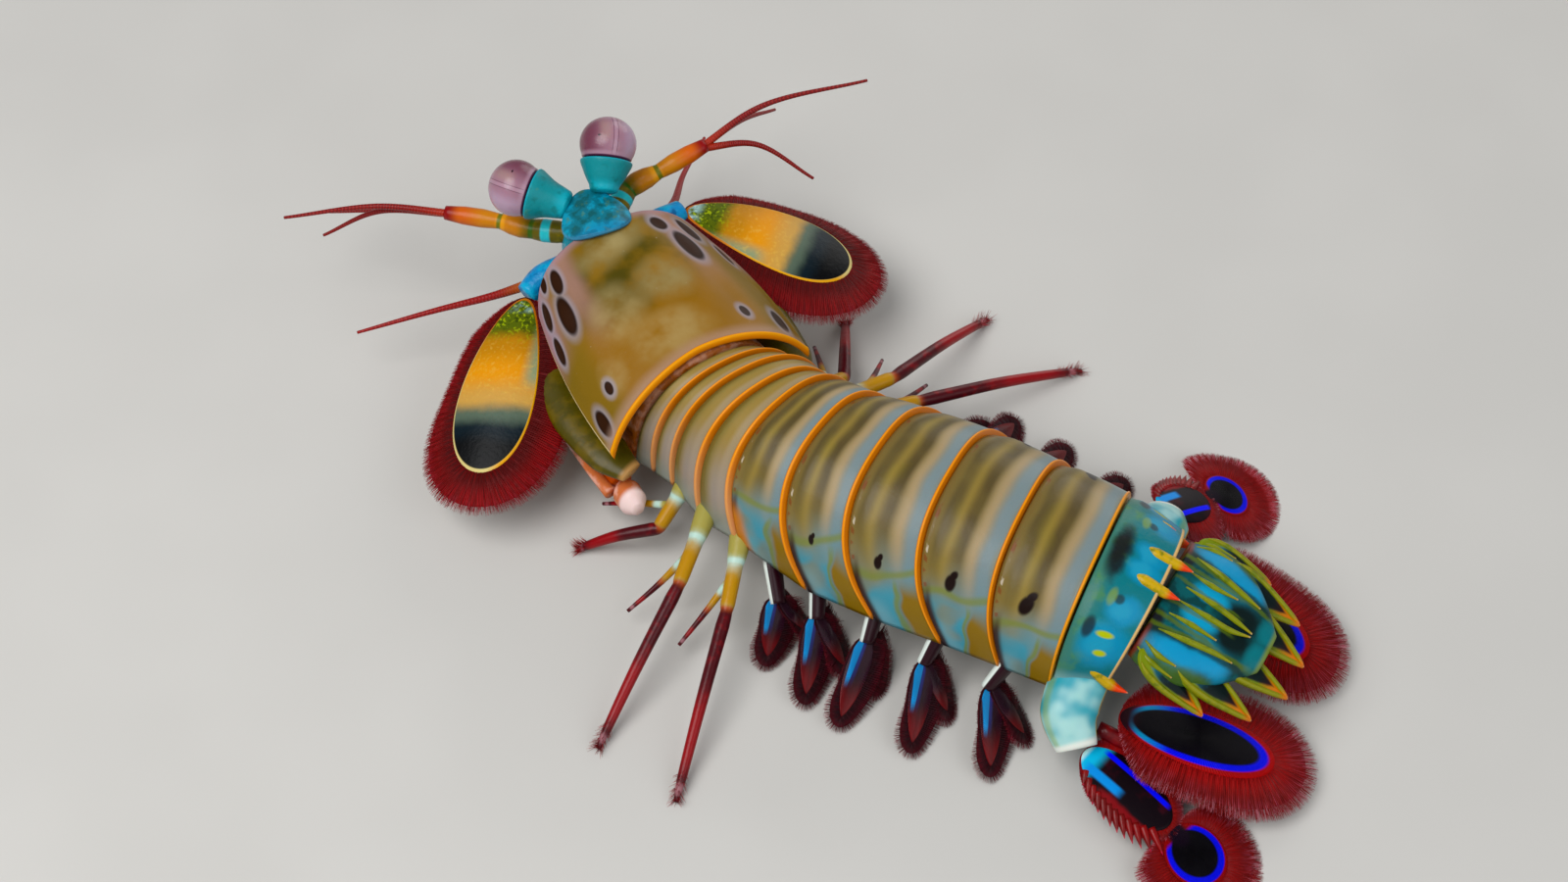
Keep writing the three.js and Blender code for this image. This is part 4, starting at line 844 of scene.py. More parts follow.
leaf = Leaf([-1.0, -38.0, 31.4], [-6.0, -47.4, 30.0], 11, -0.3, sag=5, thick=1.4, edge=0.9)
keep(leaf.plate(Shape()), "rostrum", rostral_paint(), "joint", "rostral_plate")

# Eyes
EYE_RADIUS, EYE_HEIGHT, EYE_BACK = 4.6, 4.4, 2.2
# The stalk's foot and the eye's middle.
EYE = {
    "left": ([-2.6, -47.2, 29.6], [0.6, -55.3, 30.6]),
    "right": ([-7.6, -44.2, 30.6], [-13.0, -47.9, 34.4]),
}


def turned(profile, at, direction, segments):
    """A round form about an axis: profile rows are radius and height along it."""
    d = unit(direction)
    across = unit(np.cross(UP, d))
    up = np.cross(d, across)
    profile = np.array(profile, float)
    turn = np.linspace(0, 2 * np.pi, segments, endpoint=False)
    ring = np.cos(turn)[:, None] * across + np.sin(turn)[:, None] * up
    points = np.asarray(at, float) + profile[:, 1, None, None] * d + profile[:, 0, None, None] * ring[None]
    closed = np.append(turn, turn[0])
    front = 0.5 + 0.1 * profile[:, :1, None] * np.stack([np.cos(closed), np.sin(closed)], -1)
    along = plain_places(len(profile), segments, (profile[:, 1] - profile[0, 1]) / np.ptp(profile[:, 1]))
    return Shape().grid(points, {"Front": front, "Place": along})


def cornea_paint(side):
    """Wine on one side and lilac on the other, with the thin double line of the middle band between them."""
    p = Paint("cornea_" + side, "#a07c8a", rough=0.22, coat=0.35, skin=0.1)
    x, z = p.place("Front")
    _, along = p.place()
    angle, toward = {"left": (50, 1), "right": (113, -1)}[side]
    c, s = (toward * f(math.radians(angle)) for f in (math.cos, math.sin))
    band = (x - 0.5) * (10 * s) - (z - 0.5) * (10 * c)
    p.over("#6c3648", band.rise(-0.6, -4.0) * 0.9)
    p.over("#b49c8c", band.near(-1.6, 0.2, 1.2) * along.near(0.6, 0.1, 0.25) * 0.35)
    p.over("#b8a0b4", band.rise(0.5, 2.8) * 0.85)
    p.over("#b89aa8", band.near(0.0, 0.25, 0.15) * 0.5)
    p.over("#5c3448", band.near(0.36, 0.03, 0.07).most(band.near(-0.36, 0.03, 0.07)) * 0.65)
    p.over("#240c1a", oval(band, along, (-2.6, 0.45), (0.2, 0.02), 0.3))
    p.over("#b898a8", along.rise(0.16, 0.06) * 0.6)
    p.over("#5a2c48", along.rise(0.045, 0.02))
    dots = p.node("ShaderNodeTexVoronoi")
    dots.inputs["Scale"].default_value = 4500
    p.tree.links.new(p.node("ShaderNodeTexCoord").outputs["Object"], dots.inputs["Vector"])
    return p.done(bump=Value(p, dots.outputs["Distance"]), depth=0.02)


def stalk_paint():
    p = Paint("stalk", "#088c92", rough=0.5, coat=0.1, skin=0.05)
    _, v = p.place()
    cloud = p.noise(500, 3)
    p.over("#12b0c0", v.rise(0.45, 0.1) * 0.7)
    p.over("#0a6f6c", cloud.rise(0.45, 0.3) * 0.6)
    p.over("#2fc0d8", v.rise(0.93, 0.99) * 0.5)
    p.over("#5c8a60", cloud.rise(0.62, 0.75) * v.rise(0.4, 0.7) * 0.5)
    return p.done(bump=cloud + p.noise(2200, 2) * 0.4, depth=0.16)


STALK = stalk_paint()
# The wide end of a stalk: radius, and height from its mouth.
BELL = [(3.1, -2.8), (3.75, -1.4), (4.15, -0.5), (4.2, -0.05), (3.95, 0.1), (3.4, 0.05)]
for side, (base, centre) in EYE.items():
    direction = np.subtract(centre, base)
    long = float(np.linalg.norm(direction))
    angle = np.linspace(-0.42, np.pi / 2 - 0.03, 44)
    globe = [(EYE_RADIUS * math.cos(a), 0.4 + EYE_HEIGHT * math.sin(a)) for a in angle]
    collar = [(3.2, -EYE_BACK), (3.8, -EYE_BACK), (4.0, 0.2 - EYE_BACK)]
    cornea = turned(collar + globe, centre, direction, 96)
    keep(cornea, "cornea_" + side, cornea_paint(side), "cornea", "eye_" + side)
    cup = long - EYE_BACK - GAP
    bell = [(radius, cup + height) for radius, height in BELL]
    profile, _ = smooth_path([(1.6, 0.0), (2.2, 0.3), (2.5, 1.2)] + bell, 5)
    stalk = turned(profile, base, direction, 64)
    keep(stalk, "eyestalk_skin_" + side, STALK, "stalk", "eyestalk_" + side)

# Antennules: the stalk's joints, and for each whip its middle and its tip.
ANTENNULE = {
    "left": ([[-2.6, -47.4, 22.6], [0.4, -53.2, 22.0], [2.7, -58.4, 22.0], [7.1, -66.5, 22.0]],
             [[[13.4, -75.6, 22.4], [22.9, -88.9, 18.0]], [[12.8, -76.4, 20.0], [19.4, -84.0, 14.0]],
              [[9.8, -75.2, 18.5], [14.5, -88.0, 12.5]]]),
    "right": ([[-8.8, -43.8, 23.6], [-14.4, -45.4, 24.4], [-19.5, -43.2, 26.0], [-27.5, -39.9, 28.0]],
              [[[-38.5, -37.2, 30.0], [-55.7, -28.6, 28.0]], [[-34.0, -34.6, 26.4], [-38.7, -26.1, 20.0]],
               [[-36.6, -40.6, 25.5], [-47.0, -41.5, 19.0]]]),
}


def antennule_paint():
    p = Paint("antennule", "#6e6410", rough=0.36, coat=0.08, skin=0.05)
    _, v = p.place()
    cloud = p.noise(600, 3)
    p.over("#8c7a10", cloud.rise(0.45, 0.65))
    p.over("#c8860c", v.rise(0.33, 0.5))
    p.over("#e0a010", v.near(0.64, 0.02, 0.04))
    p.over("#c8680c", v.rise(0.74, 0.9))
    p.over("#8a1010", v.rise(0.9, 0.98))
    p.over("#2f6a20", v.near(0.33, 0.012, 0.02).most(v.near(0.66, 0.01, 0.015)) * 0.8)
    p.over("#58d0d8", v.near(0.2, 0.03, 0.02) * cloud.rise(0.2, 0.35))
    return p.done(bump=cloud, depth=0.12)


def whip_paint(name, root, tip):
    p = Paint(name, root, rough=0.4, coat=0.2)
    _, v = p.place()
    p.over(tip, v.rise(0.0, 0.35))
    rings = (v * 330).wave()
    p.over("#c04038", rings.rise(0.4, 1.0) * 0.35)
    return p.done(bump=rings, depth=0.05)


PEDUNCLE, WHIP = antennule_paint(), whip_paint("whip", "#a8380c", "#7c0c14")
for side, (stalk, whips) in ANTENNULE.items():
    path, _ = smooth_path(stalk, 3)
    swell = np.array([-0.25, 0.1, 0.1] * 3 + [-0.2])
    radii = np.interp(np.linspace(0, 3, 10), range(4), [1.7, 1.9, 1.5, 1.35]) + swell
    node = "antennule_" + side
    keep(tube(Shape(), path, radii, 20, 5), "antennule_stalk_" + side, PEDUNCLE, "feeler", node)
    fork = np.array(stalk[3])
    back = unit(fork - np.array(stalk[2]))
    shape = Shape()
    for mid, tip in whips:
        tube(shape, [fork - 1.2 * back, mid, tip], [0.66, 0.48, 0.26], 10, 30)
    keep(shape, "antennule_whips_" + side, WHIP, "feeler", node)

# Raptorial limbs: back, out and height of each point along the shield, and its radius.
RAPTORIAL = {
    "merus": [[-20, 3.6, 15.5, 1.4], [-17, 4.2, 15.2, 2.6], [-9, 4.8, 14.6, 3.2], [0, 4.2, 14.4, 2.8],
              [4.5, 3.0, 14.2, 1.6]],
    "propodus": [[-19.5, 3.8, 9.4, 1.5], [-15, 3.0, 8.6, 2.3], [-6, 3.0, 8.0, 2.4], [1.5, 3.4, 8.2, 2.2]],
    "dactyl": [[2.6, 3.6, 8.4, 1.6], [4.2, 3.9, 8.8, 2.7], [6.6, 4.1, 9.2, 2.6], [8.2, 4.2, 9.4, 1.2]],
}


def beside(at, heading, side, tail, out, z):
    """A place beside a station, at a height over the floor."""
    p = local(at, axes(heading, 0), tail, out * SIGN[side], 0)
    p[2] = z
    return p


def under_shield(side, back, out, z):
    return beside(CARAPACE["at"], CARAPACE["heading"], side, back, out, z)


def limb_paint(name, base, spot, end, turn_at=0.8, edge=None):
    p = Paint(name, base, rough=0.34, coat=0.08, skin=0.06)
    u, v = p.place()
    cloud = p.noise(350, 3)
    p.over(spot, cloud.rise(0.45, 0.65) * 0.8)
    if edge:
        p.over(edge, u.near(0.75, 0.05, 0.1) * 0.9)
    p.over(end, v.rise(turn_at, min(turn_at + 0.15, 1.0)))
    return p.done(bump=cloud, depth=0.12)


# Paint, and how wide and deep each part is for its radius.
RAPTORIAL_LOOK = {
    "merus": (limb_paint("merus", "#50480a", "#6a5a10", "#b89060", 0.93, "#c8800c"), 1.25, 0.62),
    "propodus": (limb_paint("propodus", "#7a6a18", "#a0501c", "#c86030", 0.8), 0.86, 1.0),
    "dactyl": (limb_paint("club", "#c87850", "#e8b8a8", "#f0d8d4", 0.5), 0.86, 1.0),
}
RAPTORIAL_OUT = CARAPACE["rear"] - 5.4


def make_raptorial(side):
    def at_limb(back, out, z):
        return under_shield(side, back, RAPTORIAL_OUT + out, z)

    for part, (paint, wide, deep) in RAPTORIAL_LOOK.items():
        rows = RAPTORIAL[part]
        path = [at_limb(*row[:3]) for row in rows]
        radii = np.array([row[3] for row in rows])
        shape = tube(Shape(), path, radii * wide, 28, 9, deep=radii * deep)
        if part == "propodus":
            tube(shape, [at_limb(-21, 3.8, 13.6), at_limb(-21.4, 3.8, 10.0)], [1.7, 1.6], 20, 8)
        if part == "dactyl":
            spike(shape, at_limb(2.6, 6.0, 8.6), at_limb(-13, 6.3, 7.2), 1.1)
        node = f"raptorial_{part}_{side}"
        keep(shape, node + "_shell", paint, "club", node)


for side in SIGN:
    make_raptorial(side)

# Antennae and their scales: the base's path, the whip's path, and the scale.
ANTENNA = {
    "left": (
        [[0.6, -44.2, 19.5], [5.2, -46.6, 18.8], [9.0, -46.9, 18.2]],
        [[10.5, -52.5, 15.0], [17.5, -61.0, 10.5], [27.5, -69.0, 8.0]],
        dict(root=[9.4, -46.6, 18.0], tip=[37.0, -32.0, 12.0], wide=12.4, roll=8),
    ),
    "right": (
        [[-9.6, -39.2, 20.5], [-14.4, -39.0, 20.6], [-19.0, -38.2, 20.2]],
        [[-22.0, -42.5, 16.5], [-30.5, -48.0, 12.0], [-41.0, -52.5, 9.0]],
        dict(root=[-19.6, -38.0, 20.0], tip=[-31.6, -11.8, 14.0], wide=13.2, roll=-8),
    ),
}


def scale_paint(side):
    """The blade's inner side faces the shield, which is +y of the left leaf and -y of the right one."""
    p = Paint("scale_" + side, "#c88a20", rough=0.4, coat=0.02, skin=0.06, shine=0.12)
    x, y = p.place()
    r, _ = p.place("Polar")
    inner = (y - 0.5) * (2 * SIGN[side])
    grain = p.noise(1500, 2)
    cloud = p.noise(260, 3)
    shore = x + (cloud - 0.5) * 0.05 + inner * 0.02
    p.ramp(shore, [(0.0, "#5a6a10"), (0.19, "#5c6808"), (0.29, "#b88412"), (0.46, "#dc9a34"),
                   (0.61, "#c8a060"), (0.69, "#5c6a5c"), (0.77, "#0c1c24"), (0.86, "#000204")])
    p.over("#a8b820", p.noise(1900, 1).rise(0.56, 0.64) * x.rise(0.32, 0.14) * 0.8)
    p.over("#2c3c08", p.noise(1300, 1).rise(0.44, 0.36) * x.rise(0.3, 0.12) * 0.7)
    p.over("#7aa088", inner.rise(0.45, 0.85) * x.near(0.3, 0.14, 0.12) * 0.8)
    p.over("#c8ecf0", (cloud + grain * 0.3).rise(0.55, 0.72) * x.rise(0.12, 0.03))
    p.over("#6cc8d0", inner.rise(0.75, 0.9) * x.near(0.16, 0.08, 0.06) * 0.8)
    p.over("#e0c070", grain.rise(0.5, 0.75) * x.near(0.45, 0.1, 0.12) * 0.35)
    rim = r.rise(0.945, 0.962)
    p.over("#d8c890", rim * x.rise(0.1, 0.3))
    p.over("#e0a808", rim * inner.rise(0.2, 0.6))
    p.over("#c87808", rim * x.rise(0.45, 0.2))
    return p.done(bump=grain * 0.5 + cloud, depth=0.12)


WHIP_YELLOW = whip_paint("antenna_whip", "#b8780c", "#8c1410")
for side, (base, whip, spec) in ANTENNA.items():
    node = "antenna_" + side
    keep(tube(Shape(), base, [2.7, 2.5, 1.9], 24, 10), "antenna_base_" + side, BLUE, "joint", node)
    shape = tube(Shape(), [base[1], *whip], [1.0, 0.7, 0.48, 0.26], 12, 24)
    keep(shape, "antenna_whip_" + side, WHIP_YELLOW, "joint", node)
    leaf = Leaf(**spec, egg=0.3, sag=4, bow=1.5, thick=1.25, edge=0.55)
    node = "antennal_scale_" + side
    keep(leaf.plate(Shape()), "scale_blade_" + side, scale_paint(side), "scale", node)
    fringe = fringe_of(6.4, 3.0, 0.25, 6.6, SIGN[side])
    add_fringe(leaf, fringe, "scale", side, node, (RED_WEB, RED_SETAE), 0.8, 5, 900)

# Maxillipeds
HANDS = limb_paint("maxilliped", "#3f8a80", "#c0602c", "#e0c8b0", 0.75)
HAND_PITCH = 5.2
# Back, out and height of a hand's joints from the place where it grows, and their radii.
HAND = [((0, 5.0, 11), 1.5), ((-1.5, 6.2, 6.4), 1.2), ((-4.6, 4.6, 4.8), 1.9), ((-6.0, 3.4, 5.2), 0.9)]
for side in SIGN:
    palm = [under_shield(side, -27, 4.6, 12.6), under_shield(side, -14, 5.4, 10.4)]
    shape = tube(Shape(), palm, [2.6, 2.6], 20, 10)
    for n in range(3):
        start = -26 + HAND_PITCH * n
        joints = [under_shield(side, start + back, out, z) for (back, out, z), _ in HAND]
        tube(shape, joints, [radius for _, radius in HAND], 18, 8)
    keep(shape, "mouth_limbs_" + side, HANDS, "joint", "maxillipeds_" + side)

# Walking legs: root and knee beside the segment as back, out and height, and the toe's place on the floor.
LEGS = {
    "left": [
        ("thorax_6", [2.4, 11, 12], [5.4, 19.5, 6.4], [32.1, -15.9]),
        ("thorax_7", [3.0, 12, 12], [11.6, 25.1, 10], [56.6, 10.7]),
        ("thorax_8", [3.4, 12, 12], [11.7, 24.3, 9], [55.8, 25.7]),
    ],
    "right": [
        ("thorax_6", [-1.0, 11, 12], [-3.5, 21.0, 7.0], [-30.5, -12.0]),
        ("thorax_7", [-0.5, 12, 12], [1.5, 26.0, 10.5], [-46.5, 6.0]),
        ("thorax_8", [0.5, 12, 12], [6.5, 25.5, 9.5], [-48.0, 24.5]),
    ],
}
FOOT = 0.5


def leg_paint():
    p = Paint("walking_leg", "#a8a060", rough=0.34, coat=0.08, skin=0.05)
    _, v = p.place()
    cloud = p.noise(500, 3)
    v = v + (cloud - 0.5) * 0.05
    # Painted highlight: a pale white-cyan band high on the leg.
    p.over("#c4e0d8", v.near(0.21, 0.03, 0.08) * 0.9)
    p.over("#b88c0c", v.near(0.34, 0.03, 0.09))
    p.over("#a8440e", v.rise(0.38, 0.48) * 0.9)
    p.over("#4c0814", v.rise(0.45, 0.55))
    p.over("#a01424", v.near(0.8, 0.03, 0.06) * 0.7)
    p.over("#8c1020", cloud.rise(0.52, 0.7) * v.rise(0.5, 0.65) * 0.6)
    p.over("#d8a0a8", v.near(0.93, 0.01, 0.03) * 0.4)
    return p.done(bump=cloud, depth=0.12)


LEG = leg_paint()
LEG_SETAE = 150
BRANCH_STEP = 6


def make_leg(side, number, name, root_at, knee_at, toe_at):
    """A walking leg with its side branch, and short setae along the lower half of its shin."""
    at, heading, pitch = STATION[name][:3]
    root, knee = (beside(at, heading, side, *place) for place in (root_at, knee_at))
    toe = np.array([*toe_at, FOOT * 0.8])
    shin = mix(knee, toe, 0.5) + [0, 0, 0.9]
    heel = mix(knee, toe, 0.88) + [0, 0, 0.4]
    thigh = [mix(root, knee, share) for share in (0.42, 0.5, 0.92)]
    joints = [root, *thigh, knee, mix(knee, shin, 0.16), shin, heel, toe]
    shape = tube(Shape(), joints, [2.0, 1.45, 1.25, 1.15, 0.95, 1.1, 0.95, 0.75, FOOT * 0.8], 18, 7)
    branch = mix(root, knee, 0.6)
    drift = unit((toe - knee) * [1, 1, 0])
    ahead = unit(drift - 0.5 * axes(heading, pitch)[0]) * BRANCH_STEP
    bend, end = branch + ahead, branch + ahead * 2
    bend[2], end[2] = 6.5, 3.5
    tube(shape, [branch, bend, end], [0.7, 0.5, 0.3], 12, 12)
    node = f"walking_leg_{side}_{number}"
    keep(shape, node + "_shell", LEG, "limb", node)

    share = draw.uniform(0.66, 0.97, LEG_SETAE)
    start = shin + share[:, None] * (toe - shin)
    turn = draw.uniform(0, 2 * np.pi, LEG_SETAE)
    out = np.cos(turn)[:, None] * np.array([drift[1], -drift[0], 0.0]) + np.sin(turn)[:, None] * UP
    length = draw.uniform(0.9, 2.0, LEG_SETAE)[:, None, None]
    steps = np.linspace(0, 1, 4)[None, :, None]
    paths = start[:, None] + steps * length * (out * 0.8 + drift * 0.9)[:, None]
    paths[..., 2] = np.maximum(paths[..., 2], 0.05)
    coat = Coat()
    coat.strands(paths, 0.055, np.stack([share, turn / 7], -1), draw.uniform(0, 1, LEG_SETAE))
    keep(coat, node + "_setae", RED_SETAE, "limb", node)


for side in SIGN:
    for number, row in enumerate(LEGS[side], 1):
        make_leg(side, number, *row)

# Pleopods: the segment, and the joint and the tip of the blade beside it, as back and out.
PLEOPODS = [
    ("abdomen_1", (5.1, 18.6), (7.6, 25.0)), ("abdomen_2", (0.4, 19.0), (4.4, 29.0)),
    ("abdomen_3", (-3.3, 20.0), (-2.0, 31.0)), ("abdomen_4", (-6.8, 19.2), (-3.6, 30.0)),
    ("abdomen_5", (-9.6, 18.4), (-4.8, 28.2)),
]
FLOOR_CLEAR = 0.8


def pleopod_stalk_paint():
    p = Paint("pleopod_stalk", "#2a0814", rough=0.35, coat=0.2)
    u, v = p.place()
    p.over("#e8f0ea", u.near(0.88, 0.09, 0.03).most(u.near(0.62, 0.09, 0.03)) * v.rise(0.35, 0.5))
    p.over("#8a8430", u.near(0.75, 0.01, 0.02) * v.rise(0.4, 0.5))
    return p.done()


def pleopod_paint(sign, striped):
    """Dark red with fine lines. A striped blade has a bright blue wedge over a darker one."""
    p = Paint("pleopod_blade", "#300814", rough=0.4, coat=0.2, skin=0.05)
    x, y = p.place()
    lines = p.stripes(90)
    p.over("#840e1c", x.rise(0.45, 0.9))
    p.over("#4c1844", lines.rise(0.3, 1.0) * x.rise(0.75, 0.4) * 0.6)
    p.over("#b02434", lines.rise(0.5, 1.0) * x.rise(0.6, 0.9) * 0.4)
    if striped:
        edge = (y - 0.5) * sign
        p.over("#3448a8", (abs(edge + 0.16) + x * 0.1).rise(0.24, 0.12) * x.rise(0.68, 0.4) * 0.7)
        p.over("#3ca8ec", (abs(edge + 0.27) + x * 0.18).rise(0.21, 0.16) * x.rise(0.68, 0.5))
    return p.done(bump=lines, depth=0.1)


PLEOPOD_STALK = pleopod_stalk_paint()
PLEOPOD_SETAE = setae_paint("setae_pleopod", "#3c0814", "#6c0e1c", "#a83c50")


def make_pleopod(side, number, name, joint_at, tip_at, paints):
    """A swimming leg: its stalk, an outer and an inner blade, and the web and setae of both."""
    at, heading, _, _, arch, _ = STATION[name]
    root = beside(at, heading, side, mix(-5, joint_at[0], 0.3), 11.6, at[2] - arch * 0.88)
    joint = beside(at, heading, side, *joint_at, 6.6)
    tip = beside(at, heading, side, *tip_at, FLOOR_CLEAR + 1.0)
    inner = beside(at, heading, side, tip_at[0] + 2.4, tip_at[1] - 7.5, FLOOR_CLEAR + 0.8)
    node = f"pleopod_{side}_{number}"
    path = [root, mix(root, joint, 0.5), joint]
    hint = np.array([0.0, 1, 0])
    stalk = tube(Shape(), path, [2.2, 2.0, 1.6], 20, 10, hint=hint, deep=[1.5, 1.3, 1.1])
    keep(stalk, node + "_stalk", PLEOPOD_STALK, "swimmer", node)
    start = mix(root, joint, 0.9)
    roll = -24 * SIGN[side]
    fringe = fringe_of(2.6, 0.5, 0.12, 3.6, SIGN[side])
    skirt, coat = Shape(), Coat()
    for end, wide, part, paint in ((tip, 3.8, "_blade", paints[0]), (inner, 3.0, "_inner", paints[1])):
        leaf = Leaf(start, end, wide, 0.0, roll, sag=0.6, thick=0.95, edge=0.45, floor=0.5, point=0.5)
        keep(leaf.plate(Shape(), turns=96, rows=14), node + part, paint, "swimmer", node)
        leaf.web(skirt, fringe, 0.6, turns=120)
        for _ in range(2):
            leaf.setae(coat, fringe, 380, 0.045, 0.06)
    keep(skirt, node + "_skirt", DARK_WEB, "swimmer", node)
    keep(coat, node + "_setae", PLEOPOD_SETAE, "swimmer", node)


for side in SIGN:
    paints = [pleopod_paint(SIGN[side], striped) for striped in (True, False)]
    for number, row in enumerate(PLEOPODS, 1):
        make_pleopod(side, number, *row, paints)


# Sixth segment: its blue panels, as side, length, half width and half length.
PANELS_6 = [(0.05, 0.68, 0.07, 0.25), (0.33, 0.66, 0.09, 0.26), (0.60, 0.58, 0.15, 0.36)]


def sixth_paint():
    """Blue panels on green, with a black mark in the middle of the front."""
    p = Paint("abdomen_6", "#2a7880", rough=0.34, coat=0.05, skin=0.04, shine=0.16)
    u, v = p.place()
    s = u * 2 - 1
    flank = abs(s)
    cloud = p.noise(300, 3)
    p.over("#4c7c6c", v.rise(0.4, 0.05) * 0.8)
    p.over("#5c8a50", cloud.rise(0.5, 0.68) * v.rise(0.75, 0.3) * 0.6)
    loose = (cloud - 0.5) * 0.1
    for side, length, wide, long in PANELS_6:
        inside = oval(flank + loose, v + loose, (side, length - 0.06), (wide * 0.5, long * 0.5), 0.7)
        p.over("#1490b4", oval(flank + loose, v + loose, (side, length), (wide, long), 0.45) * 0.9)
        p.over("#4aa4bc", inside * 0.5)
    ragged = (cloud - 0.5) * 0.16
    p.over("#160a12", oval(s + ragged, v + ragged, (0, 0.22), (0.14, 0.13), 0.6) * 0.95)
    p.over("#20222c", oval(flank, v, (0.5, 0.26), (0.07, 0.09), 0.35) * 0.85)
    p.over("#20302c", oval(flank, v, (0.27, 0.52), (0.03, 0.07), 0.4) * 0.8)
    p.over("#8aa030", oval(flank, v, (0.27, 0.4), (0.05, 0.06), 0.5) * 0.6)
    dashes = oval(flank, v, (0.52, 0.55), (0.022, 0.13), 0.4)
    p.over("#b8c040", dashes.most(oval(flank, v, (0.66, 0.6), (0.022, 0.1), 0.4)))
    p.over("#a8c8c8", flank.rise(0.82, 0.95) * 0.7)
    p.over("#d8b480", v.rise(0.945, 0.955))
    return p.done(bump=cloud + p.noise(1500, 2) * 0.4, depth=0.14)


def keel_paint(name, base, end, at=0.7):
    p = Paint(name, base, rough=0.34, coat=0.08, skin=0.05)
    _, v = p.place()
    cloud = p.noise(700, 3)
    p.over("#647408", cloud.rise(0.48, 0.66) * v.rise(0.8, 0.4) * 0.8)
    p.over(end, v.rise(at, min(at + 0.18, 0.99)))
    p.over("#f0c8a0", v.rise(0.955, 0.99) * 0.5)
    return p.done(bump=cloud, depth=0.1)


KEEL_ORANGE = keel_paint("keel_orange", "#c8a808", "#e0520c", 0.62)
KEEL_GREEN = keel_paint("keel_green", "#868c10", "#a09014", 0.8)
KEEL_OLIVE = keel_paint("keel_olive", "#8c8c10", "#d07c10", 0.72)
shape = drum("abdomen_5", "abdomen_6", profile_of(0.055, 0.5, 0.2))
keep(shape, "abdomen_6_plate", sixth_paint(), "tail", "abdomen_6")


def on_back(name, share, lift, back):
    """A place on a segment's back, at a share of its half width."""
    at, heading, pitch, half, arch, _ = STATION[name]
    turn = math.asin(min(abs(share), 1) ** (1 / FLANK_POWER))
    height = lift - arch * (1 - math.cos(turn) ** ARCH_POWER)
    return local(at, axes(heading, pitch), back, share * half, height)


# Keels of one side: side share at the front and rear, start, end and radius.
KEELS_6 = [(0.18, 0.19, -6.0, 3.2, 1.0), (0.66, 0.66, -5.0, -1.4, 0.62), (0.97, 0.99, -7.6, 3.6, 1.15)]
shape = Shape()
for sign in (1, -1):
    for front, rear, start, end, radius in KEELS_6:
        line = [(front, -0.6 * radius, start), (front, -0.2 * radius, mix(start, end, 0.35)),
                (rear, -0.1, mix(start, end, 0.75)), (rear, 0.2, end)]
        points = [on_back("abdomen_6", share * sign, lift, back) for share, lift, back in line]
        tube(shape, points, [0.3 * radius, radius, 0.8 * radius, 0.08], 16, 7)
keep(shape, "abdomen_6_keels", KEEL_ORANGE, "tail", "abdomen_6")

# Telson: its rows are back, half width, level and depth.
TELSON = ([-9.9, 66.2, 22.6], 101, 15)
TELSON_DIRS = axes(*TELSON[1:])
TELSON_ROWS = [[0, 11.0, -4.6, 4.6], [2.5, 12.0, -4.2, 4.3], [7.5, 12.1, -3.4, 3.5],
               [11, 10.5, -2.9, 2.8], [14.5, 7.4, -2.4, 2.1], [17.6, 3.6, -2.0, 1.3]]
TELSON_LONG, TELSON_WIDE = 19, 26
TELSON_SIDES = 120
SQUARE = 0.7


def on_telson(back, out, up):
    return local(TELSON[0], TELSON_DIRS, back, out, up)


def telson_paint():
    """Blue hollows between olive ridges. Here x runs from the middle line and y from the front."""
    p = Paint("telson", "#1c5c60", rough=0.38, coat=0.04, skin=0.06, shine=0.15)
    u, v = p.place()
    cloud = p.noise(400, 3)
    x, y = abs((u - 0.5) * TELSON_WIDE) + (cloud - 0.5) * 1.2, v * TELSON_LONG
    p.over("#0c3434", cloud.rise(0.42, 0.6) * 0.7)
    p.over("#3c8ca0", oval(x, y, (3.6, 8.4), (1.7, 3.6), 0.6) * 0.8)
    p.over("#081c1c", oval(x, y, (1.8, 11.8), (2.6, 2.9), 0.45))
    p.over("#180c18", oval(x, y, (6.2, 0.4), (1.8, 1.2), 0.5) * 0.9)
    p.over("#0894bc", oval(x, y, (8.9, 5.6), (1.7, 3.9), 0.5))
    p.over("#0894bc", oval(x, y, (7.2, 10.4), (1.7, 2.8), 0.55))
    p.over("#0c9cc0", oval(x, y, (2.3, 6.2), (1.1, 2.4), 0.6))
    p.over("#14302c", (x + y * 0.12).near(7.2, 0.35, 0.8) * 0.8)
    p.over("#5c7014", (x + y * 0.12).near(6.6, 0.15, 0.5) * 0.7)
    p.over("#5c7014", (x - y * 0.02).near(4.7, 0.12, 0.5) * y.rise(11.5, 9.5) * 0.7)
    p.over("#5c7014", (x + y * 0.05).near(2.2, 0.1, 0.4) * y.rise(12.5, 10.5) * 0.6)
    p.over("#0c7c84", oval(x, y, (2.4, 16.2), (2.0, 1.4), 0.6) * 0.8)
    p.over("#4a6410", (x + y * 0.15).rise(10.4, 11.8) * 0.8)
    p.over("#8a9410", y.rise(16.6, 17.4) * 0.7)
    p.over("#8a3010", y.rise(0.9, 0.2) * x.rise(6, 9) * 0.7)
    return p.done(bump=cloud + p.noise(1500, 2) * 0.3, depth=0.12)


def tooth_paint():
    p = Paint("tooth", "#0c1c1c", rough=0.42, coat=0.02, skin=0.05, shine=0.12)
    x, _ = p.place()
    r, _ = p.place("Polar")
    cloud = p.noise(500, 3)
    p.over("#0c7c94", (x + (cloud - 0.5) * 0.3).rise(0.45, 0.2) * 0.9)
    p.over("#3c0810", x.rise(0.6, 0.85) * 0.8)
    edge = r + (cloud - 0.5) * 0.12
    p.over("#7c8a10", edge.rise(0.55, 0.72))
    p.over("#d07c14", edge.rise(0.5, 0.7) * x.rise(0.6, 0.85))
    return p.done(bump=cloud, depth=0.1)


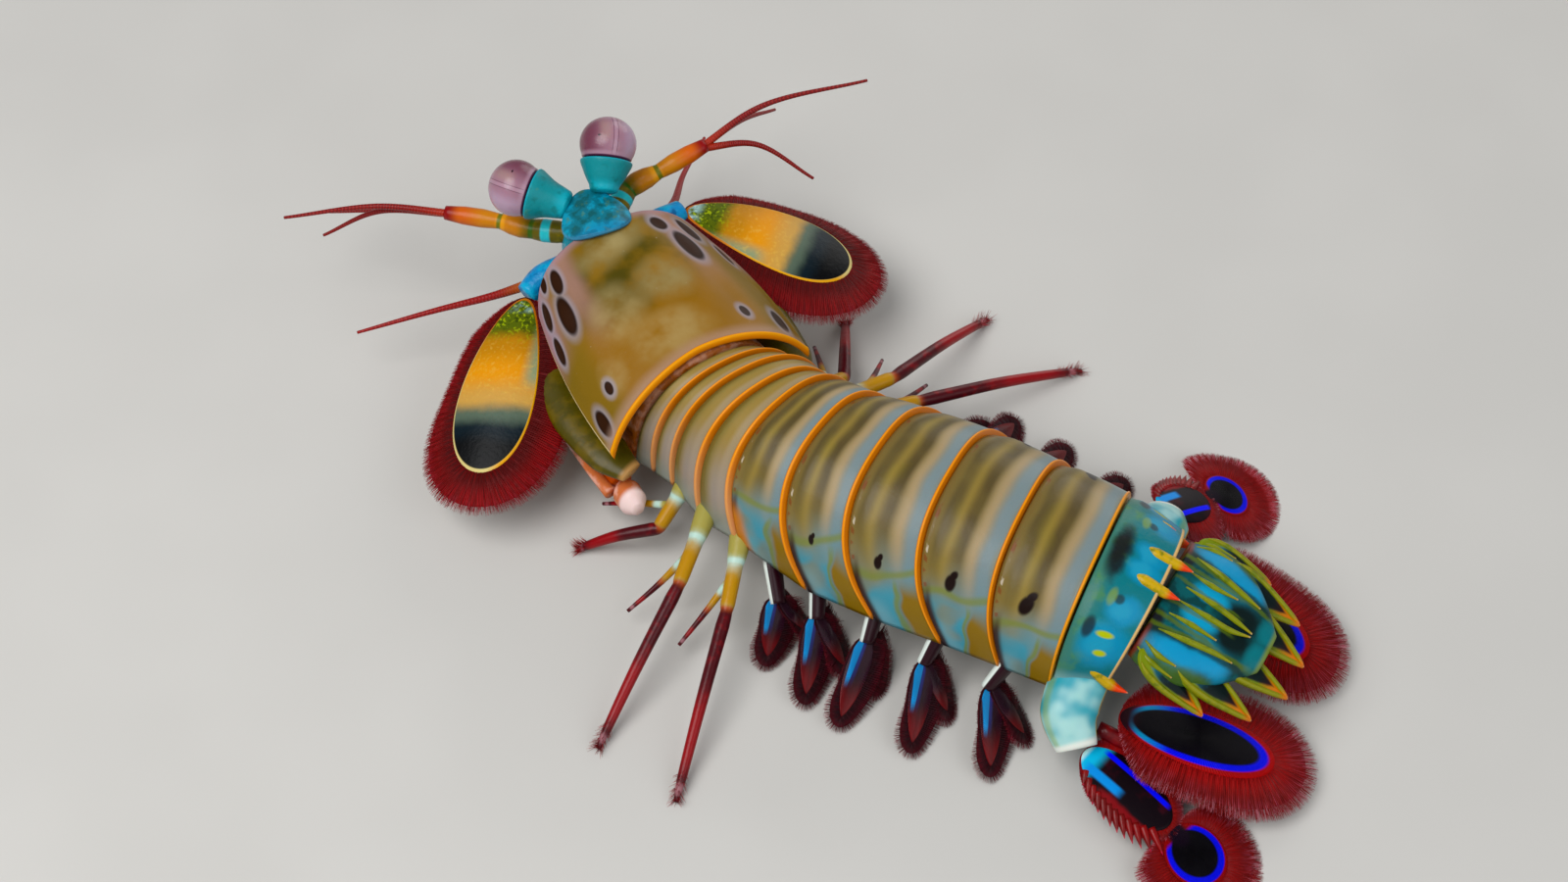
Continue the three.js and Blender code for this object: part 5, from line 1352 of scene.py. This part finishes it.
rows, _ = smooth_path(TELSON_ROWS, 12)
turn = np.linspace(0, 2 * np.pi, TELSON_SIDES, endpoint=False)
flat = np.sign(np.cos(turn)) * np.abs(np.cos(turn)) ** SQUARE
swell = np.sin(turn) * np.where(np.sin(turn) < 0, 0.5, 1)
rings = []
for back, half, level, deep in rows:
    rings.append(on_telson(np.full(TELSON_SIDES, back), half * flat, level + deep * swell))
across = 0.5 + np.append(flat, flat[0])[None] * rows[:, 1:2] / TELSON_WIDE
layer = np.stack(np.broadcast_arrays(across, rows[:, :1] / TELSON_LONG), 2)
keep(Shape().grid(np.array(rings), {"Place": layer}), "telson_plate", telson_paint(), "tail", "telson")


def telson_top(back, out, lift=0.0):
    """A place on the upper face of the plate."""
    half, level, deep = (np.interp(back, rows[:, 0], rows[:, k]) for k in (1, 2, 3))
    reach = min(abs(out) / half, 1.0) ** (1 / SQUARE)
    return on_telson(back, out, level + deep * math.sqrt(1 - reach**2) + lift)


def swelling(count, shares, radii):
    """Radii for so many points of a ridge, from a few at shares of its length."""
    return np.interp(np.linspace(0, 1, count), shares, radii)


# Teeth of one side: back, side and height at the root and at the tip, and width.
TEETH = [((1.0, 10.2, -2.3), (14.0, 12.9, -5.6), 5.0), ((5.5, 8.6, -1.5), (20.6, 9.3, -5.4), 5.4),
         ((9.0, 3.9, -0.9), (23.8, 3.1, -4.8), 5.6)]
# Keels of one side: back and side of each point, and how high the last one stands.
KEELS = [([(0.4, 10.3), (3.2, 11.4), (7.0, 11.8)], 0), ([(0.9, 9.3), (3.6, 10.3), (6.6, 10.4)], 0),
         ([(1.6, 7.0), (6.0, 6.4), (10.5, 5.6), (13.5, 5.3)], 0), ([(1.8, 4.0), (5.5, 3.8), (9.8, 4.0)], 0.5),
         ([(2.2, 1.3), (7.0, 1.2), (11.0, 0.95), (14.0, 0.3)], 0.5)]
teeth, keels, rails = Shape(), Shape(), Shape()
for sign in (1, -1):
    for root, tip, wide in TEETH:
        root, tip = (on_telson(back, out * sign, up) for back, out, up in (root, tip))
        leaf = Leaf(root, tip, wide, sag=0.6, thick=1.8, edge=0.7, point=1.0, egg=-0.15)
        leaf.plate(teeth, turns=96, rows=14)
        for edge in (1, -1):
            rim, _ = leaf.rim(np.linspace(2.5, 0.1, 9) * edge)
            radii = swelling(9, [0, 0.2, 0.8, 1], [0.1, 0.5, 0.42, 0.1])
            tube(rails, leaf.place(rim * [0.99, 0.86], 0.45), radii, 12, 4)
    for line, lift in KEELS:
        lifts = [0] * (len(line) - 1) + [lift]
        points = [telson_top(back, out * sign, up) for (back, out), up in zip(line, lifts)]
        tube(keels, points, swelling(len(line), [0, 0.3, 0.7, 1], [0.12, 0.52, 0.46, 0.12]), 14, 8)
keep(teeth, "telson_teeth", tooth_paint(), "tail", "telson")
keep(rails, "telson_rails", KEEL_OLIVE, "tail", "telson")
keep(keels, "telson_keels", KEEL_GREEN, "tail", "telson")

# Uropods: the base's path, a root, a tip and a width for each of three blades, and the spines' root and tips.
UROPOD = {
    "left": dict(
        base=[[4.2, 62.0, 12.5], [10.5, 64.2, 10.0], [13.4, 68.0, 7.4]],
        outer=([12.6, 68.8, 6.6], [13.2, 85.2, 3.6], 8.6),
        tip=([13.2, 85.6, 3.4], [14.6, 95.6, 0.9], 9.4),
        inner=([4.8, 69.5, 7.4], [-5.0, 91.6, 4.2], 10.0),
        spines=[[8.2, 68.2, 6.6], [6.6, 78.0, 4.6], [4.0, 83.5, 4.2]],
    ),
    "right": dict(
        base=[[-20.8, 56.8, 12.5], [-25.4, 55.4, 10.6], [-28.4, 54.2, 9.2]],
        outer=([-28.6, 53.2, 8.6], [-38.0, 56.0, 4.0], 8.4),
        tip=([-38.4, 56.2, 3.6], [-45.0, 59.6, 0.9], 8.6),
        inner=([-22.4, 62.5, 8.0], [-23.6, 85.0, 4.6], 10.0),
        spines=[[-25.0, 61.0, 7.4], [-31.5, 69.5, 4.8], [-31.0, 76.0, 4.4]],
    ),
}


def protopod_paint():
    p = Paint("protopod", "#2c9cac", rough=0.34, coat=0.08, skin=0.08)
    u, v = p.place()
    cloud = p.noise(260, 1)
    p.over("#b8dcd8", (cloud + v * 0.2).rise(0.4, 0.8) * 0.9)
    p.over("#c8a818", u.near(0.0, 0.02, 0.025).most(u.near(0.5, 0.02, 0.025)))
    p.over("#8ca048", u.near(0.4, 0.01, 0.04) * 0.5)
    p.over("#e4e8e0", v.rise(0.86, 0.95))
    return p.done(bump=cloud, depth=0.14)


def exopod_paint(side):
    p = Paint("exopod_" + side, "#10040c", rough=0.42, coat=0.01, skin=0.05, shine=0.1)
    x, y = p.place()
    inner = (y - 0.5) * (2 * SIGN[side])
    cloud = p.noise(300, 3)
    p.over("#3a0a18", cloud.rise(0.5, 0.7) * 0.7)
    p.over("#7c0a1c", (inner * -1 + cloud * 0.3).rise(0.72, 0.9) * x.rise(0.28, 0.4))
    p.over("#08b4d8", x.rise(0.24, 0.12))
    p.over("#0a90d8", inner.near(-0.38, 0.1, 0.12) * x.near(0.3, 0.14, 0.1))
    p.over("#c8ecec", x.rise(0.07, 0.02))
    p.over("#0a2cf0", inner.near(0.5, 0.07, 0.06) * x.near(0.52, 0.32, 0.08))
    return p.done(bump=cloud, depth=0.1)


def exopod_tip_paint(side):
    """A black leaf with a blue line inside a red rim."""
    p = Paint("exopod_tip_" + side, "#8c0a18", rough=0.42, coat=0.01, skin=0.05, shine=0.1)
    x, y = p.place()
    lines = p.stripes(120)
    p.over("#c0222c", lines.rise(0.4, 1.0) * 0.3)
    gap = x.rise(0.2, 0.12)
    p.over("#0c2cf0", oval(x, y, (0.49, 0.5), (0.44, 0.45), 0.03) * (1 - gap))
    p.over("#06030c", oval(x, y, (0.47, 0.5), (0.36, 0.355), 0.05))
    p.over("#18081c", oval(x, y, (0.1, 0.5), (0.2, 0.16), 0.3))
    return p.done(bump=lines, depth=0.06)


def endopod_paint(side):
    """A black leaf with a blue line inside a red rim. The line is lighter towards the root."""
    p = Paint("endopod_" + side, "#a00810", rough=0.42, coat=0.01, skin=0.05, shine=0.1)
    x, y = p.place()
    lines = p.stripes(150)
    p.over("#c4202c", lines.rise(0.4, 1.0) * 0.3)
    p.over("#b81018", x.rise(0.6, 0.95) * 0.6)
    shape = oval(x, y, (0.5, 0.5), (0.45, 0.43), 0.03)
    core = oval(x, y, (0.485, 0.5), (0.405, 0.34), 0.04)
    p.over("#0c2cf0", shape)
    p.over("#10a0d0", shape * x.rise(0.35, 0.15))
    p.over("#08040e", core)
    p.over("#2a0814", x.rise(0.16, 0.05))
    return p.done(bump=lines, depth=0.06)


PROTOPOD = protopod_paint()
SPINE_FAN = limb_paint("fan_spines", "#5c0814", "#7c1018", "#c0601c", 0.8)
SPINE_RED = limb_paint("fan_red_spines", "#6c0612", "#8c0a1c", "#b02040", 0.7)
FAN = (FAN_WEB, FAN_SETAE)
FAN_SPINES = [0.12 + 0.072 * n for n in range(12)]
for side, u in UROPOD.items():
    node = "uropod_protopod_" + side
    shape = tube(Shape(), u["base"], [4.4, 4.4, 3.1], 32, 12, deep=[2.6, 2.7, 1.9])
    keep(shape, "protopod_shell_" + side, PROTOPOD, "tail", node)
    shape = Shape()
    for tip in u["spines"][1:]:
        spike(shape, u["spines"][0], tip, 1.2, 16, 0.1)
    keep(shape, "protopod_fork_" + side, SPINE_FAN, "tail", node)

    node = "uropod_exopod_" + side
    leaf = Leaf(*u["outer"], 0.05, sag=0.8, thick=1.5, edge=0.6)
    keep(leaf.plate(Shape()), "exopod_blade_" + side, exopod_paint(side), "fan", node)
    shape = Shape()
    for share in FAN_SPINES:
        rim, way = leaf.rim(np.array([-SIGN[side] * math.acos(2 * share - 1)]))
        start, end = leaf.place(rim - way * 0.5)[0], leaf.place(rim + way * 1.9 + [[2.4, 0]])[0]
        spike(shape, start, end, 0.62, 12, 0.1)
    keep(shape, "exopod_spines_" + side, SPINE_RED, "fan", node)
    fringe = fringe_of(1.6, 1.4, 0.3, 5.0, SIGN[side])
    add_fringe(leaf, fringe, "exopod", side, node, FAN, 0.8, 2, 600)

    node = "uropod_exopod_tip_" + side
    leaf = Leaf(*u["tip"], 0.0, sag=0.5, thick=0.95, edge=0.5, floor=0.12)
    keep(leaf.plate(Shape(), turns=144), "exopod_tip_blade_" + side, exopod_tip_paint(side), "fan", node)
    add_fringe(leaf, fringe_of(5.4, 5.0, 0.3), "exopod_tip", side, node, FAN, 0.72, 5, 620)

    node = "uropod_endopod_" + side
    leaf = Leaf(*u["inner"], 0.12, sag=1, bow=0.6, thick=1.05, edge=0.5)
    keep(leaf.plate(Shape()), "endopod_blade_" + side, endopod_paint(side), "fan", node)
    add_fringe(leaf, fringe_of(6.6, 5.4, 0.25), "endopod", side, node, FAN, 0.72, 5, 900)


# Floor, light and camera
def make_floor():
    mesh = bpy.data.meshes.new("floor")
    half = 3.0
    corners = [(x * half, y * half, 0) for x, y in ((-1, -1), (1, -1), (1, 1), (-1, 1))]
    mesh.from_pydata(corners, [], [(0, 1, 2, 3)])
    floor = bpy.data.objects.new("floor", mesh)
    bpy.context.scene.collection.objects.link(floor)
    p = Paint("floor", "#cfcdc9", rough=0.75)
    p.over("#c9c7c3", p.noise(25, 2).rise(0.3, 0.7) * 0.5)
    mesh.materials.append(p.done())


make_floor()


def light(name, place, size, power, tint=(1, 1, 1)):
    """A round soft lamp that looks at the animal. Place and size are in metres."""
    aim = Vector((0, 0, 0.015))
    lamp = bpy.data.lights.new(name, "AREA")
    lamp.shape, lamp.size, lamp.energy, lamp.color = "DISK", size, power, tint
    obj = bpy.data.objects.new(name, lamp)
    obj.location = place
    obj.rotation_euler = (aim - obj.location).to_track_quat("-Z", "Y").to_euler()
    bpy.context.scene.collection.objects.link(obj)


light("key", (0.30, -0.10, 0.55), 0.50, 3.1)
light("fill", (0.05, 0.55, 0.40), 0.60, 1.2, (0.94, 0.97, 1.0))
light("rim", (-0.50, -0.10, 0.20), 0.40, 0.7, (1.0, 0.98, 0.95))
world = bpy.data.worlds.new("studio")
world.use_nodes = True
sky = world.node_tree.nodes["Background"]
sky.inputs["Color"].default_value = (0.85, 0.88, 0.92, 1)
sky.inputs["Strength"].default_value = 0.28
scene = bpy.context.scene
scene.world = world
scene.view_settings.view_transform = "Standard"
scene.view_settings.look = "None"

LENS, SENSOR = 60, 36
AZIMUTH, ELEVATION, DISTANCE = 130, 55, 0.417
target = Vector(((HOME + [0, 0, 10]) * MM).tolist())
turn, rise = math.radians(AZIMUTH), math.radians(ELEVATION)
back = Vector((math.sin(turn) * math.cos(rise), -math.cos(turn) * math.cos(rise), math.sin(rise)))
camera = bpy.data.objects.new("camera", bpy.data.cameras.new("camera"))
camera.data.lens, camera.data.sensor_width = LENS, SENSOR
camera.data.clip_start = 0.01
camera.location = target + back * DISTANCE
camera.rotation_euler = (-back).to_track_quat("-Z", "Y").to_euler()
scene.collection.objects.link(camera)
scene.camera = camera
